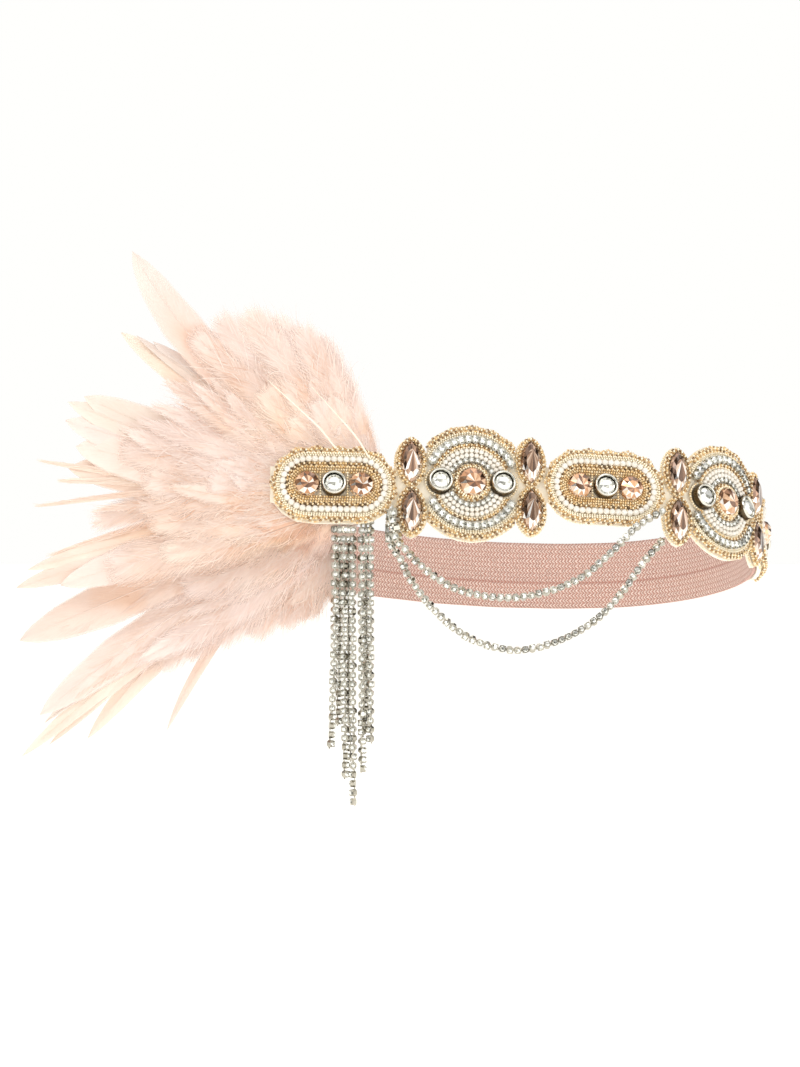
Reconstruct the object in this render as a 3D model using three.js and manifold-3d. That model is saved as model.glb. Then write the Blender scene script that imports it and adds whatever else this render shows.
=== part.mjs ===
// A flapper headband: a strip of beaded motifs on felt that goes round the brow, closed at the back by
// folded elastic. A fan of dyed feathers and a tassel of cup chain hang behind its left motif, and two
// swags of cup chain cross its front. Millimetres, +Z up. The origin is the middle of the loop, where
// the head sits. The beaded front faces -Y and turns at its right end towards +X and +Y.
import * as THREE from 'three';
import { mergeVertices } from 'three/addons/utils/BufferGeometryUtils.js';
import Module from 'manifold-3d';

const wasm = await Module();
wasm.setup();

// The loop seen from above: a long flat front, a tight turn at the right, a broad back and a turn at the
// left that closes it. Headings are degrees from +X, and the back and left radii follow from closing it.
const FRONT_RADIUS = 650;
const FRONT_LENGTH = 125;
const FRONT_HEADING = 3;
const TURN_RADIUS = 57;
const BACK_HEADING = 174;
const LEFT_HEADING = 257;
const BAND_TILT = 14.2; // degrees by which the back hangs below the front

// The layers of the band, and the clearance between pieces that rest on each other.
const CLEARANCE = 0.3;
const BEND_ALLOWANCE = 0.1; // room for the flat faces of rows that bend with the band
const ELASTIC_WIDTH = 25;
const ELASTIC_THICKNESS = 1.2;
const ELASTIC_RISE = 0.5;
const CREASE_DROP = 3; // the elastic's fold line lies this far below its middle
const CREASE_DEPTH = 0.8; // of the groove that the fold leaves outside
const ELASTIC_LAP = 28; // length of each end that lies behind a motif
const FELT_THICKNESS = 1.4;
const FELT_MARGIN = 0.8; // felt that shows round the beads
const FELT_NECK = 6; // half height of the felt where two motifs meet

// The beaded motifs, from left to right, and how far each is sewn above the elastic's line.
const MOTIFS = [
  { kind: 'oval', rise: 0 },
  { kind: 'marquise', rise: 0 },
  { kind: 'round', rise: 2 },
  { kind: 'marquise', rise: 1.6 },
  { kind: 'oval', rise: 2.8 },
  { kind: 'marquise', rise: 1.6 },
  { kind: 'round', rise: 2.6 },
  { kind: 'marquise', rise: 1.2 },
  { kind: 'oval', rise: 0.4 },
];
const MOTIF_GAP = 0.4;
const OVAL_LENGTH = 39.6;
const OVAL_HEIGHT = 24;
const ROUND_WIDTH = 28.8;
const ROUND_HEIGHT = 38;
const MARQUISE_LENGTH = 13.4; // of the stone
const MARQUISE_WIDTH = 6.6;
const MARQUISE_RIM_SIDE = 1.45;
const MARQUISE_RIM_TIP = 1.1;
const MARQUISE_RIM_HEIGHT = 1.7;
const MARQUISE_TIP_POWER = 1.5; // the higher, the sharper its tips
const MARQUISE_RIM_TIP_POWER = 1.2;

// Bead rows across a motif, as shares of the way from its outer edge to its inner edge.
const OVAL_ROWS = {
  rope: { from: 0.03, to: 0.31, height: 1.7 },
  pearls: { from: 0.35, to: 0.6, height: 2.1 },
  gold: { from: 0.66, to: 0.97, height: 1.4 },
};
const ROUND_ROWS = {
  rope: { from: 0.02, to: 0.15, height: 1.7 },
  crystals: { from: 0.18, to: 0.37, height: 2.2 },
  gold: { from: 0.41, to: 0.54, height: 1.5 },
  pearls: { from: 0.6, to: 0.79, height: 2.1 },
  smallCrystals: { from: 0.83, to: 0.98, height: 1.6 },
};
const ROUND_ROW_START = 28; // degrees above the middle at which the rows of a round motif start

// The stones and their bezels. A bezel stone stands a clearance inside its bezel's wall.
const CHATON_RADIUS = 4.1; // champagne stone of an oval motif
const CHATON_HEIGHT = 3.6;
const CENTRE_RADIUS = 4.8; // champagne stone of a round motif
const CENTRE_HEIGHT = 4.4;
const CENTRE_RIM_WIDTH = 0.9;
const CENTRE_RIM_HEIGHT = 1.8;
const BEZEL_RADIUS = 3.95;
const BEZEL_WALL = 0.7;
const BEZEL_HEIGHT = 3.3;
const BEZEL_FLOOR = 1;
const BEZEL_STONE_HEIGHT = 2.6;
const STONE_PITCH = 8.75; // between the stones of an oval motif
const BEZEL_PITCH = 10.35; // from the middle of a round motif to its bezels
const MARQUISE_STONE_HEIGHT = 3.2;
const STONE_SIDES = 10;
const STONE_BASE = 0.76; // of a round stone's radius, below its girdle
const STONE_TABLE = 0.58;

// Cup chain, shown by the outer form of its cups: width across the stones and thickness through them.
const CHAIN_WIDTH = 2.4;
const CHAIN_THICKNESS = 1.7;

// The swags of cup chain. Each hangs from the notch beside the first oval motif to the notch beside the
// middle one: notch is the motif it follows, shift is along the band from there, drop is below the
// band's middle and rise is from the felt's face. A route is a few chosen points: how much of the way
// between the ends, and how much of the sag below the straight line between them. It bows forward too.
const SWAG_BOW = 4;
const SWAGS = {
  swag_upper: {
    from: { notch: 0, shift: -1.2, drop: 8.4, rise: 4.1 },
    to: { notch: 4, shift: -1, drop: 4.6, rise: 4.6 },
    sag: 29,
    route: [[0.02, 0.36], [0.05, 0.47], [0.11, 0.66], [0.18, 0.82], [0.25, 0.92], [0.4, 1], [0.55, 0.94],
      [0.69, 0.76], [0.8, 0.48], [0.9, 0.18]],
  },
  swag_lower: {
    from: { notch: 0, shift: -1.2, drop: 8.4, rise: 1.4 },
    to: { notch: 4, shift: 1.8, drop: 12.6, rise: -3.2 },
    sag: 42,
    route: [[0, 0.27], [0.03, 0.36], [0.06, 0.49], [0.11, 0.64], [0.16, 0.75], [0.21, 0.84], [0.27, 0.92],
      [0.34, 0.97], [0.41, 0.99], [0.48, 0.98], [0.6, 0.89], [0.74, 0.7], [0.84, 0.46], [0.92, 0.21]],
  },
};

// The tassel: strands of cup chain on a flat bar behind the left motif. A strand's place across the bar
// and how far its end strays sideways count pitches, and its length is a share of the longest.
const TASSEL_ALONG = 26.2; // from the band's left end to the bar's middle
const TASSEL_BAR_HEIGHT = 2.6;
const TASSEL_BAR_DROP = 9.9; // from the band's middle to the bar's
const STRAND_ROW_GAP = 2.2;
const STRAND_PITCH = 2.9;
const STRAND_LENGTH = 90; // of the longest, below the bar's motif
const STRAND_SETTLE = 12; // height in which a strand reaches its own row
const STRANDS = [
  { row: 'front', across: -2, length: 0.79, sway: -0.5 },
  { row: 'front', across: -1, length: 0.9, sway: 0.2 },
  { row: 'front', across: 0, length: 1, sway: 0.1 },
  { row: 'front', across: 1, length: 0.88, sway: 0.1 },
  { row: 'front', across: 2, length: 0.77, sway: 0 },
  { row: 'back', across: -1.5, length: 0.71, sway: -0.1 },
  { row: 'back', across: -0.5, length: 0.84, sway: 0.1 },
  { row: 'back', across: 1.5, length: 0.73, sway: 0.1 },
];

// The plume: feathers that fan out to the left from a pad between the felt and the elastic. Angles are
// degrees from the band's direction, counter-clockwise seen from the front, and curl turns the tip.
// A feather's length and width are shares of the longest and widest. It lies flat in the band over its
// hidden length, and its lift is how far it stands off beyond.
const PAD_ALONG = 22; // from the band's left end to the pad's middle
const PAD_RISE = 0.7;
const PAD_LENGTH = 25;
const PAD_HEIGHT = 17;
const PAD_THICKNESS = 1.8;
const QUILL_SPREAD = 11; // height over which the feathers' roots are set
const FEATHER_LENGTH = 126; // of the longest
const FEATHER_WIDTH = 22; // of the widest
const FEATHER_THICKNESS = 2.8;
const QUILL_SHIFT = 15; // how far left of the others the lowest feather is set
const LIFT_LENGTH = 25; // length over which a feather reaches its lift
const FEATHERS = [
  { angle: 113, length: 0.42, width: 0.64, hidden: 36, lift: 0.5, curl: 2 },
  { angle: 122, length: 0.51, width: 1, hidden: 36, lift: 3, curl: 4 },
  { angle: 130, length: 0.59, width: 1, hidden: 36, lift: 0.5, curl: 4 },
  { angle: 135, length: 0.85, width: 0.68, hidden: 36, lift: 2, curl: 2 },
  { angle: 142, length: 0.56, width: 0.91, hidden: 36, lift: 3.5, curl: 4 },
  { angle: 148, length: 0.73, width: 0.73, hidden: 36, lift: 1, curl: -3 },
  { angle: 156, length: 0.62, width: 0.91, hidden: 36, lift: 3, curl: 2 },
  { angle: 167, length: 0.77, width: 0.82, hidden: 36, lift: 1.5, curl: -4 },
  { angle: 176, length: 0.8, width: 0.77, hidden: 36, lift: 3.5, curl: -2 },
  { angle: 185, length: 0.85, width: 0.68, hidden: 36, lift: 1, curl: 2 },
  { angle: 195, length: 0.88, width: 0.77, hidden: 36, lift: 3, curl: 4 },
  { angle: 203, length: 0.92, width: 0.82, hidden: 36, lift: 1.5, curl: 3 },
  { angle: 210, length: 0.85, width: 0.82, hidden: 28, lift: 4, curl: 4 },
  { angle: 217, length: 1, width: 0.77, hidden: 25, lift: 2, curl: 4 },
  { angle: 223, length: 0.88, width: 0.77, hidden: 22, lift: 0, curl: 4 },
  { angle: 231, length: 0.73, width: 0.64, hidden: 18, lift: -2, curl: 4 },
  { angle: 236, length: 0.49, width: 0.91, hidden: 16, lift: -4, curl: 2 },
  { angle: 247, length: 0.37, width: 0.77, hidden: 14, lift: -3, curl: 0 },
  { angle: 259, length: 0.32, width: 0.59, hidden: 12, lift: -4, curl: 0 },
];
// Width and thickness of a feather along its length, as shares of its own.
const FEATHER_FORM = [
  { at: 0, width: 0.12, thickness: 0.4 },
  { at: 0.14, width: 0.4, thickness: 0.5 },
  { at: 0.34, width: 0.92, thickness: 0.8 },
  { at: 0.54, width: 1, thickness: 1 },
  { at: 0.73, width: 0.7, thickness: 0.8 },
  { at: 0.88, width: 0.36, thickness: 0.5 },
  { at: 1, width: 0.04, thickness: 0.15 },
];

const radians = THREE.MathUtils.degToRad;

// Where an arc that starts at a point and heading has got to after a length.
function stepArc(from, radius, length) {
  const heading = from.heading + length / radius;
  return {
    x: from.x + radius * (Math.sin(heading) - Math.sin(from.heading)),
    y: from.y - radius * (Math.cos(heading) - Math.cos(from.heading)),
    heading,
  };
}

// The four arcs of the loop. The last two radii solve the two equations that bring it back to its start.
function makeLoop() {
  const start = { x: 0, y: 0, heading: radians(FRONT_HEADING) };
  const turn = stepArc(start, FRONT_RADIUS, FRONT_LENGTH);
  const turnLength = TURN_RADIUS * (radians(BACK_HEADING) - turn.heading);
  const back = stepArc(turn, TURN_RADIUS, turnLength);
  const left = radians(LEFT_HEADING);
  const end = start.heading + 2 * Math.PI;
  const backSin = Math.sin(left) - Math.sin(back.heading);
  const backCos = Math.cos(left) - Math.cos(back.heading);
  const leftSin = Math.sin(end) - Math.sin(left);
  const leftCos = Math.cos(end) - Math.cos(left);
  const crossed = backSin * leftCos - leftSin * backCos;
  const backRadius = (-back.x * leftCos - back.y * leftSin) / crossed;
  const leftRadius = (back.x * backCos + back.y * backSin) / crossed;
  const backLength = backRadius * (left - back.heading);
  const leftStart = stepArc(back, backRadius, backLength);
  const arcs = [
    { start, radius: FRONT_RADIUS, length: FRONT_LENGTH },
    { start: turn, radius: TURN_RADIUS, length: turnLength },
    { start: back, radius: backRadius, length: backLength },
    { start: leftStart, radius: leftRadius, length: leftRadius * (end - left) },
  ];
  let from = 0;
  for (const arc of arcs) {
    arc.from = from;
    from += arc.length;
  }
  return { arcs, length: from };
}
const loop = makeLoop();

// The point and heading at a length along the loop from the band's left end.
function along(s) {
  const place = THREE.MathUtils.euclideanModulo(s, loop.length);
  const arc = loop.arcs.findLast(({ from }) => from <= place);
  return stepArc(arc.start, arc.radius, place - arc.from);
}

// The middle of the loop's box is the origin.
function loopMiddle() {
  const box = new THREE.Box2();
  const samples = 720;
  for (let i = 0; i < samples; i++) {
    const point = along((loop.length * i) / samples);
    box.expandByPoint(new THREE.Vector2(point.x, point.y));
  }
  return box.getCenter(new THREE.Vector2());
}
const middle = loopMiddle();

// A place on the band: s along the loop, t up and h outward from the loop.
function wrap(s, t, h) {
  const { x, y, heading } = along(s);
  return new THREE.Vector3(x + h * Math.sin(heading) - middle.x, y - h * Math.cos(heading) - middle.y, t);
}

// Turns a vector of the band's frame into the upright frame.
const tilt = new THREE.Euler(-radians(BAND_TILT), 0, 0);
function upright(vector) {
  return vector.clone().applyEuler(tilt);
}

// Stands a mesh on the band with its own z outward and its own y up.
function stand(mesh, s, t, h) {
  const { heading } = along(s);
  const right = new THREE.Vector3(Math.cos(heading), Math.sin(heading), 0);
  const up = new THREE.Vector3(0, 0, 1);
  const out = new THREE.Vector3().crossVectors(right, up);
  mesh.position.copy(wrap(s, t, h));
  mesh.quaternion.setFromRotationMatrix(new THREE.Matrix4().makeBasis(right, up, out));
  return mesh;
}

// Leaves only shared positions, so that the surface closes.
function closed(geometry) {
  const bare = geometry.clone();
  bare.deleteAttribute('normal');
  bare.deleteAttribute('uv');
  return mergeVertices(bare, 1e-4);
}

// Turns all faces outward, told by the sign of the volume.
function facingOut(geometry) {
  const { position } = geometry.attributes;
  const index = geometry.index.array;
  const corner = [0, 1, 2].map(() => new THREE.Vector3());
  let volume = 0;
  for (let i = 0; i < index.length; i += 3) {
    corner.forEach((vertex, k) => vertex.fromBufferAttribute(position, index[i + k]));
    volume += corner[0].dot(corner[1].clone().cross(corner[2]));
  }
  if (volume < 0) {
    for (let i = 0; i < index.length; i += 3) [index[i + 1], index[i + 2]] = [index[i + 2], index[i + 1]];
  }
  return geometry;
}

// A skin over a row of rings with equally many corners. A row with cap triangles is closed by them at
// both ends, and one without runs back into its first ring.
function loft(rings, capTriangles) {
  const corners = rings[0].length;
  const index = [];
  const bands = capTriangles ? rings.length - 1 : rings.length;
  for (let i = 0; i < bands; i++) {
    const here = i * corners;
    const next = ((i + 1) % rings.length) * corners;
    for (let j = 0; j < corners; j++) {
      const k = (j + 1) % corners;
      index.push(here + j, here + k, next + k, here + j, next + k, next + j);
    }
  }
  const last = (rings.length - 1) * corners;
  for (const [a, b, c] of capTriangles ?? []) index.push(a, c, b, last + a, last + b, last + c);
  const geometry = new THREE.BufferGeometry();
  const numbers = rings.flat().flatMap((point) => point.toArray());
  geometry.setAttribute('position', new THREE.Float32BufferAttribute(numbers, 3));
  geometry.setIndex(index);
  return facingOut(geometry);
}

// Triangles that fill a flat outline, turned the same way round as the outline.
function fill(outline) {
  const points = outline.map(([x, y]) => new THREE.Vector2(x, y));
  const { isClockWise, triangulateShape } = THREE.ShapeUtils;
  return triangulateShape(points, []).map((triangle) => (
    isClockWise(triangle.map((corner) => points[corner])) === isClockWise(points)
      ? triangle : triangle.toReversed()));
}

// Moves each vertex of a geometry to where a function of it says.
function reshape(geometry, place) {
  const shaped = geometry.clone();
  const { position } = shaped.attributes;
  const vertex = new THREE.Vector3();
  for (let i = 0; i < position.count; i++) {
    const moved = place(vertex.fromBufferAttribute(position, i));
    position.setXYZ(i, moved.x, moved.y, moved.z);
  }
  return facingOut(closed(shaped));
}

// Several closed geometries fused into one.
function fuse(geometries) {
  const solids = geometries.map((geometry) => {
    const { position } = geometry.attributes;
    const triVerts = new Uint32Array(geometry.index.array);
    return new wasm.Manifold(new wasm.Mesh({ numProp: 3, vertProperties: position.array, triVerts }));
  });
  const mesh = solids.reduce((whole, solid) => whole.add(solid)).getMesh();
  const geometry = new THREE.BufferGeometry();
  geometry.setAttribute('position', new THREE.BufferAttribute(mesh.vertProperties, 3));
  geometry.setIndex(new THREE.BufferAttribute(mesh.triVerts, 1));
  return geometry;
}

const materials = {
  elastic: new THREE.MeshStandardMaterial({ color: 0xe3b3a4, roughness: 0.75 }),
  felt: new THREE.MeshStandardMaterial({ color: 0xf3e6cf, roughness: 0.9 }),
  beads: new THREE.MeshStandardMaterial({ color: 0xd9b27c, roughness: 0.35, metalness: 0.7 }),
  bezel: new THREE.MeshStandardMaterial({ color: 0x8f8a80, roughness: 0.3, metalness: 1 }),
  champagne: new THREE.MeshStandardMaterial({ color: 0xb98d6c, roughness: 0.1 }),
  crystal: new THREE.MeshStandardMaterial({ color: 0xe9ecec, roughness: 0.05 }),
  chain: new THREE.MeshStandardMaterial({ color: 0xc9c9c4, roughness: 0.2, metalness: 0.9 }),
  feather: new THREE.MeshStandardMaterial({ color: 0xf6dccd, roughness: 0.85 }),
};

function piece(name, geometry, material) {
  const mesh = new THREE.Mesh(geometry, material);
  mesh.name = name;
  return mesh;
}

// Heights of the layers above the loop. The elastic's middle lies on the loop at its right end.
const FELT_BACK = ELASTIC_THICKNESS / 2 + CLEARANCE + BEND_ALLOWANCE;
const FELT_FACE = FELT_BACK + FELT_THICKNESS;
const BEAD_SEAT = FELT_FACE + CLEARANCE + BEND_ALLOWANCE;
const PAD_FACE = FELT_BACK - CLEARANCE;
const STRAND_MIDDLE = PAD_FACE - CHAIN_THICKNESS / 2;

const MARQUISE_SPAN = MARQUISE_WIDTH + 2 * (CLEARANCE + MARQUISE_RIM_SIDE);
const MARQUISE_TALL = MARQUISE_LENGTH + 2 * (CLEARANCE + MARQUISE_RIM_TIP);
const MARQUISE_RISE = (MARQUISE_TALL + CLEARANCE) / 2; // of each stone's middle from the band's

// The motifs with their middles along the band and their numbers of each kind.
function layMotifs() {
  const widths = { oval: OVAL_LENGTH, marquise: MARQUISE_SPAN, round: ROUND_WIDTH };
  const counts = { oval: 0, marquise: 0, round: 0 };
  let s = 0;
  return MOTIFS.map(({ kind, rise }) => {
    const motif = { kind, rise, number: ++counts[kind], width: widths[kind], at: s + widths[kind] / 2 };
    s += widths[kind] + MOTIF_GAP;
    return motif;
  });
}
const motifs = layMotifs();
const lastMotif = motifs.at(-1);
const bandLength = lastMotif.at + lastMotif.width / 2;

// Half height of a motif's outline at a distance from its middle.
function halfHeight(kind, width, distance) {
  const reach = width / 2;
  if (kind === 'oval') {
    const radius = OVAL_HEIGHT / 2;
    const beyond = Math.max(0, Math.abs(distance) - (reach - radius));
    return Math.sqrt(Math.max(0, radius ** 2 - beyond ** 2));
  }
  if (kind === 'round') return Math.sqrt((ROUND_HEIGHT / 2) ** 2 - distance ** 2);
  const share = Math.min(1, Math.abs(distance) / reach);
  return MARQUISE_RISE + (MARQUISE_TALL / 2) * Math.sqrt(1 - share ** MARQUISE_TIP_POWER);
}

// The felt backing: one strip cut along the outlines of the motifs, with stations closer together
// at a motif's ends, where its outline is steep.
function makeFelt() {
  const stationsPerMotif = 10;
  const stations = motifs.flatMap(({ kind, rise, width, at }, motifIndex) => {
    const first = motifIndex === 0 ? FELT_MARGIN : 0;
    const final = motifIndex === motifs.length - 1 ? FELT_MARGIN : 0;
    return Array.from({ length: stationsPerMotif + 1 }, (_, k) => {
      const swing = -Math.cos((Math.PI * k) / stationsPerMotif);
      const distance = (swing * width) / 2;
      const stretch = swing < 0 ? first : final;
      const height = Math.max(FELT_NECK, halfHeight(kind, width, distance) + FELT_MARGIN);
      return { s: at + distance + swing * stretch, rise, height };
    });
  });
  const steps = stations.length - 1;
  const strip = new THREE.BoxGeometry(steps, 2, FELT_THICKNESS, steps, 1, 1);
  const geometry = reshape(strip, (vertex) => {
    const station = stations[Math.round(vertex.x + steps / 2)];
    const t = station.rise + vertex.y * station.height;
    return wrap(station.s, t, FELT_BACK + FELT_THICKNESS / 2 + vertex.z);
  });
  return piece('felt_backing', geometry, materials.felt);
}

// The elastic: its ends lie behind the end motifs, the left one also behind the feather pad.
function makeElastic() {
  const steps = 60;
  const from = bandLength - ELASTIC_LAP;
  const length = loop.length + ELASTIC_LAP - from;
  const setBack = PAD_THICKNESS + CLEARANCE + BEND_ALLOWANCE;
  const strip = new THREE.BoxGeometry(length, 2, ELASTIC_THICKNESS, steps, 2, 1);
  const geometry = reshape(strip, (vertex) => {
    const share = vertex.x / length + 0.5;
    const onCrease = Math.abs(vertex.y) < 0.5;
    const t = ELASTIC_RISE + (onCrease ? -CREASE_DROP : (vertex.y * ELASTIC_WIDTH) / 2);
    const groove = onCrease ? CREASE_DEPTH * Math.sin(Math.PI * share) : 0;
    const h = vertex.z - groove - setBack * THREE.MathUtils.smoothstep(share, 0.1, 0.9);
    return wrap(from + share * length, t, h);
  });
  return piece('elastic_band', geometry, materials.elastic);
}

// The section of bead rows: corners of [share of the way in, height], from the outer foot to the inner.
function rowSection(rows) {
  const tops = Object.values(rows).flatMap(({ from, to, height }) => [[from, height], [to, height]]);
  return [[0, 0], ...tops, [1, 0]];
}

// Bead rows of an oval motif: the section carried round between two outlines with round ends.
function makeOvalBeads({ number, at, rise }) {
  const outer = { radius: OVAL_HEIGHT / 2, reach: OVAL_LENGTH / 2 };
  const innerRadius = CHATON_RADIUS + CLEARANCE;
  const inner = { radius: innerRadius, reach: STONE_PITCH + innerRadius };
  const endSteps = 8;
  const sideSteps = 4;
  const stops = [1, -1].flatMap((side) => [
    ...Array.from({ length: endSteps + 1 }, (_, k) => ({
      side, angle: Math.PI * (k / endSteps - side / 2),
    })),
    ...Array.from({ length: sideSteps - 1 }, (_, k) => ({
      side: side * (1 - (2 * (k + 1)) / sideSteps), angle: (side * Math.PI) / 2,
    })),
  ]);
  const onOutline = ({ radius, reach }, { side, angle }) => new THREE.Vector2(
    side * (reach - radius) + radius * Math.cos(angle), radius * Math.sin(angle));
  const section = rowSection(OVAL_ROWS);
  const rings = stops.map((stop) => section.map(([share, height]) => {
    const point = onOutline(outer, stop).lerp(onOutline(inner, stop), share);
    return wrap(at + point.x, rise + point.y, BEAD_SEAT + height);
  }));
  return piece(`bead_rows_oval_${number}`, loft(rings), materials.beads);
}

// Bead rows of a round motif: an upper or lower set of arcs, cut off where the motif is narrower.
function makeRoundBeads({ number, at, rise }, where) {
  const outer = ROUND_HEIGHT / 2;
  const inner = CENTRE_RADIUS + CENTRE_RIM_WIDTH + 3 * CLEARANCE;
  const steps = 12;
  const section = rowSection(ROUND_ROWS);
  const sign = where === 'upper' ? 1 : -1;
  const rings = Array.from({ length: steps + 1 }, (_, k) => section.map(([share, height]) => {
    const radius = THREE.MathUtils.lerp(outer, inner, share);
    const cut = Math.acos(Math.min(1, ROUND_WIDTH / 2 / radius));
    const start = Math.max(radians(ROUND_ROW_START), cut);
    const angle = THREE.MathUtils.lerp(start, Math.PI - start, k / steps);
    return wrap(at + radius * Math.cos(angle), rise + sign * radius * Math.sin(angle), BEAD_SEAT + height);
  }));
  return piece(`bead_rows_round_${number}_${where}`, loft(rings, fill(section)), materials.beads);
}

// The gold bead ring round the centre stone of a round motif.
function makeCentreRim({ number, at, rise }) {
  const inner = CENTRE_RADIUS + CLEARANCE;
  const outer = inner + CENTRE_RIM_WIDTH;
  const bevel = CENTRE_RIM_WIDTH * 0.3;
  const profile = [[inner, 0], [outer, 0], [outer - bevel, CENTRE_RIM_HEIGHT], [inner, CENTRE_RIM_HEIGHT],
    [inner, 0]];
  const ring = new THREE.LatheGeometry(profile.map(([x, y]) => new THREE.Vector2(x, y)), 16);
  const geometry = facingOut(closed(ring.rotateX(Math.PI / 2)));
  return stand(piece(`centre_rim_${number}`, geometry, materials.beads), at, rise, BEAD_SEAT);
}

// A point of an almond outline.
function almond(length, width, power, angle) {
  const cos = Math.cos(angle);
  return [(Math.sign(cos) * Math.abs(cos) ** power * width) / 2, (Math.sin(angle) * length) / 2];
}

// The beaded rim of a marquise stone.
function makeMarquiseRim({ at }, name, rise) {
  const steps = 14;
  const section = [[0, 0], [0.15, 0.9], [0.85, 1], [1, 0]];
  const rimSize = [MARQUISE_TALL, MARQUISE_SPAN];
  const stoneRoom = [MARQUISE_LENGTH + 2 * CLEARANCE, MARQUISE_WIDTH + 2 * CLEARANCE];
  const rings = Array.from({ length: steps }, (_, k) => {
    const angle = (2 * Math.PI * k) / steps;
    const outer = new THREE.Vector2(...almond(...rimSize, MARQUISE_RIM_TIP_POWER, angle));
    const inner = new THREE.Vector2(...almond(...stoneRoom, MARQUISE_TIP_POWER, angle));
    return section.map(([share, height]) => {
      const point = outer.clone().lerp(inner, share);
      return wrap(at + point.x, rise + point.y, BEAD_SEAT + height * MARQUISE_RIM_HEIGHT);
    });
  });
  return piece(`${name}_rim`, loft(rings), materials.beads);
}

// A marquise stone: a base, a girdle and a table of the same almond outline.
function makeMarquiseStone({ at }, name, rise) {
  const sides = 14;
  const layers = [
    { size: 0.78, height: 0 },
    { size: 1, height: 0.5 },
    { size: 0.5, height: 1 },
  ];
  const outlineAt = (size) => Array.from({ length: sides }, (_, k) => (
    almond(MARQUISE_LENGTH * size, MARQUISE_WIDTH * size, MARQUISE_TIP_POWER, (2 * Math.PI * k) / sides)));
  const rings = layers.map(({ size, height }) => (
    outlineAt(size).map(([x, y]) => new THREE.Vector3(x, y, height * MARQUISE_STONE_HEIGHT))));
  const geometry = loft(rings, fill(outlineAt(1)));
  return stand(piece(name, geometry, materials.champagne), at, rise, BEAD_SEAT);
}

// A round stone or cup with a flat table, as a turned profile with its axis outward.
function turned(profile, sides) {
  const points = profile.map(([x, y]) => new THREE.Vector2(x, y));
  return facingOut(closed(new THREE.LatheGeometry(points, sides).rotateX(Math.PI / 2)));
}

function cutStone(radius, height) {
  return turned([[0, 0], [radius * STONE_BASE, 0], [radius, height / 2], [radius * STONE_TABLE, height],
    [0, height]], STONE_SIDES);
}

// A champagne stone set straight on the felt.
function makeChaton(name, s, t, radius, height) {
  return stand(piece(name, cutStone(radius, height), materials.champagne), s, t, BEAD_SEAT);
}

// A clear stone in a metal bezel: the cup and its stone.
function makeBezelStone(name, s, t) {
  const inner = BEZEL_RADIUS - BEZEL_WALL;
  const lean = BEZEL_WALL * 0.3;
  const cup = turned([[0, 0], [BEZEL_RADIUS, 0], [BEZEL_RADIUS - lean, BEZEL_HEIGHT], [inner, BEZEL_HEIGHT],
    [inner, BEZEL_FLOOR], [0, BEZEL_FLOOR]], STONE_SIDES);
  const stone = cutStone(inner - CLEARANCE, BEZEL_STONE_HEIGHT);
  const stoneSeat = BEAD_SEAT + BEZEL_FLOOR + CLEARANCE;
  return [
    stand(piece(`${name}_bezel`, cup, materials.bezel), s, t, BEAD_SEAT),
    stand(piece(name, stone, materials.crystal), s, t, stoneSeat),
  ];
}

// All pieces of one motif.
function makeMotif(motif) {
  const { kind, number, at, rise } = motif;
  if (kind === 'oval') {
    const champagne = `champagne_stone_oval_${number}`;
    return [
      makeOvalBeads(motif),
      makeChaton(`${champagne}_left`, at - STONE_PITCH, rise, CHATON_RADIUS, CHATON_HEIGHT),
      makeChaton(`${champagne}_right`, at + STONE_PITCH, rise, CHATON_RADIUS, CHATON_HEIGHT),
      ...makeBezelStone(`clear_stone_oval_${number}`, at, rise),
    ];
  }
  if (kind === 'round') {
    return [
      makeRoundBeads(motif, 'upper'),
      makeRoundBeads(motif, 'lower'),
      makeCentreRim(motif),
      makeChaton(`champagne_stone_round_${number}`, at, rise, CENTRE_RADIUS, CENTRE_HEIGHT),
      ...makeBezelStone(`clear_stone_round_${number}_left`, at - BEZEL_PITCH, rise),
      ...makeBezelStone(`clear_stone_round_${number}_right`, at + BEZEL_PITCH, rise),
    ];
  }
  return [['upper', MARQUISE_RISE], ['lower', -MARQUISE_RISE]].flatMap(([where, offset]) => {
    const name = `marquise_${number}_${where}`;
    return [makeMarquiseStone(motif, name, rise + offset), makeMarquiseRim(motif, name, rise + offset)];
  });
}

// A length of cup chain along a path, with a flattened section.
function makeChain(path, steps) {
  const corner = CHAIN_WIDTH * 0.28;
  const half = { x: CHAIN_WIDTH / 2, y: CHAIN_THICKNESS / 2 };
  const outline = [[half.x, 0], [corner, half.y], [-corner, half.y], [-half.x, 0], [-corner, -half.y],
    [corner, -half.y]];
  const section = new THREE.Shape(outline.map(([x, y]) => new THREE.Vector2(x, y)));
  return facingOut(closed(new THREE.ExtrudeGeometry(section, { extrudePath: path, steps })));
}

function makeSwag(name, { from, to, sag, route }) {
  const [start, end] = [from, to].map(({ notch, shift, drop, rise }) => {
    const motif = motifs[notch];
    return upright(wrap(motif.at + (motif.width + MOTIF_GAP) / 2 + shift, -drop, FELT_FACE + rise));
  });
  const free = route.map(([share, drop]) => {
    const point = start.clone().lerp(end, share);
    return point.add(new THREE.Vector3(0, -SWAG_BOW * Math.sin(Math.PI * share), -sag * drop));
  });
  const path = new THREE.CatmullRomCurve3([start, ...free, end], false, 'centripetal');
  return piece(name, makeChain(path, 44), materials.chain);
}

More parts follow.
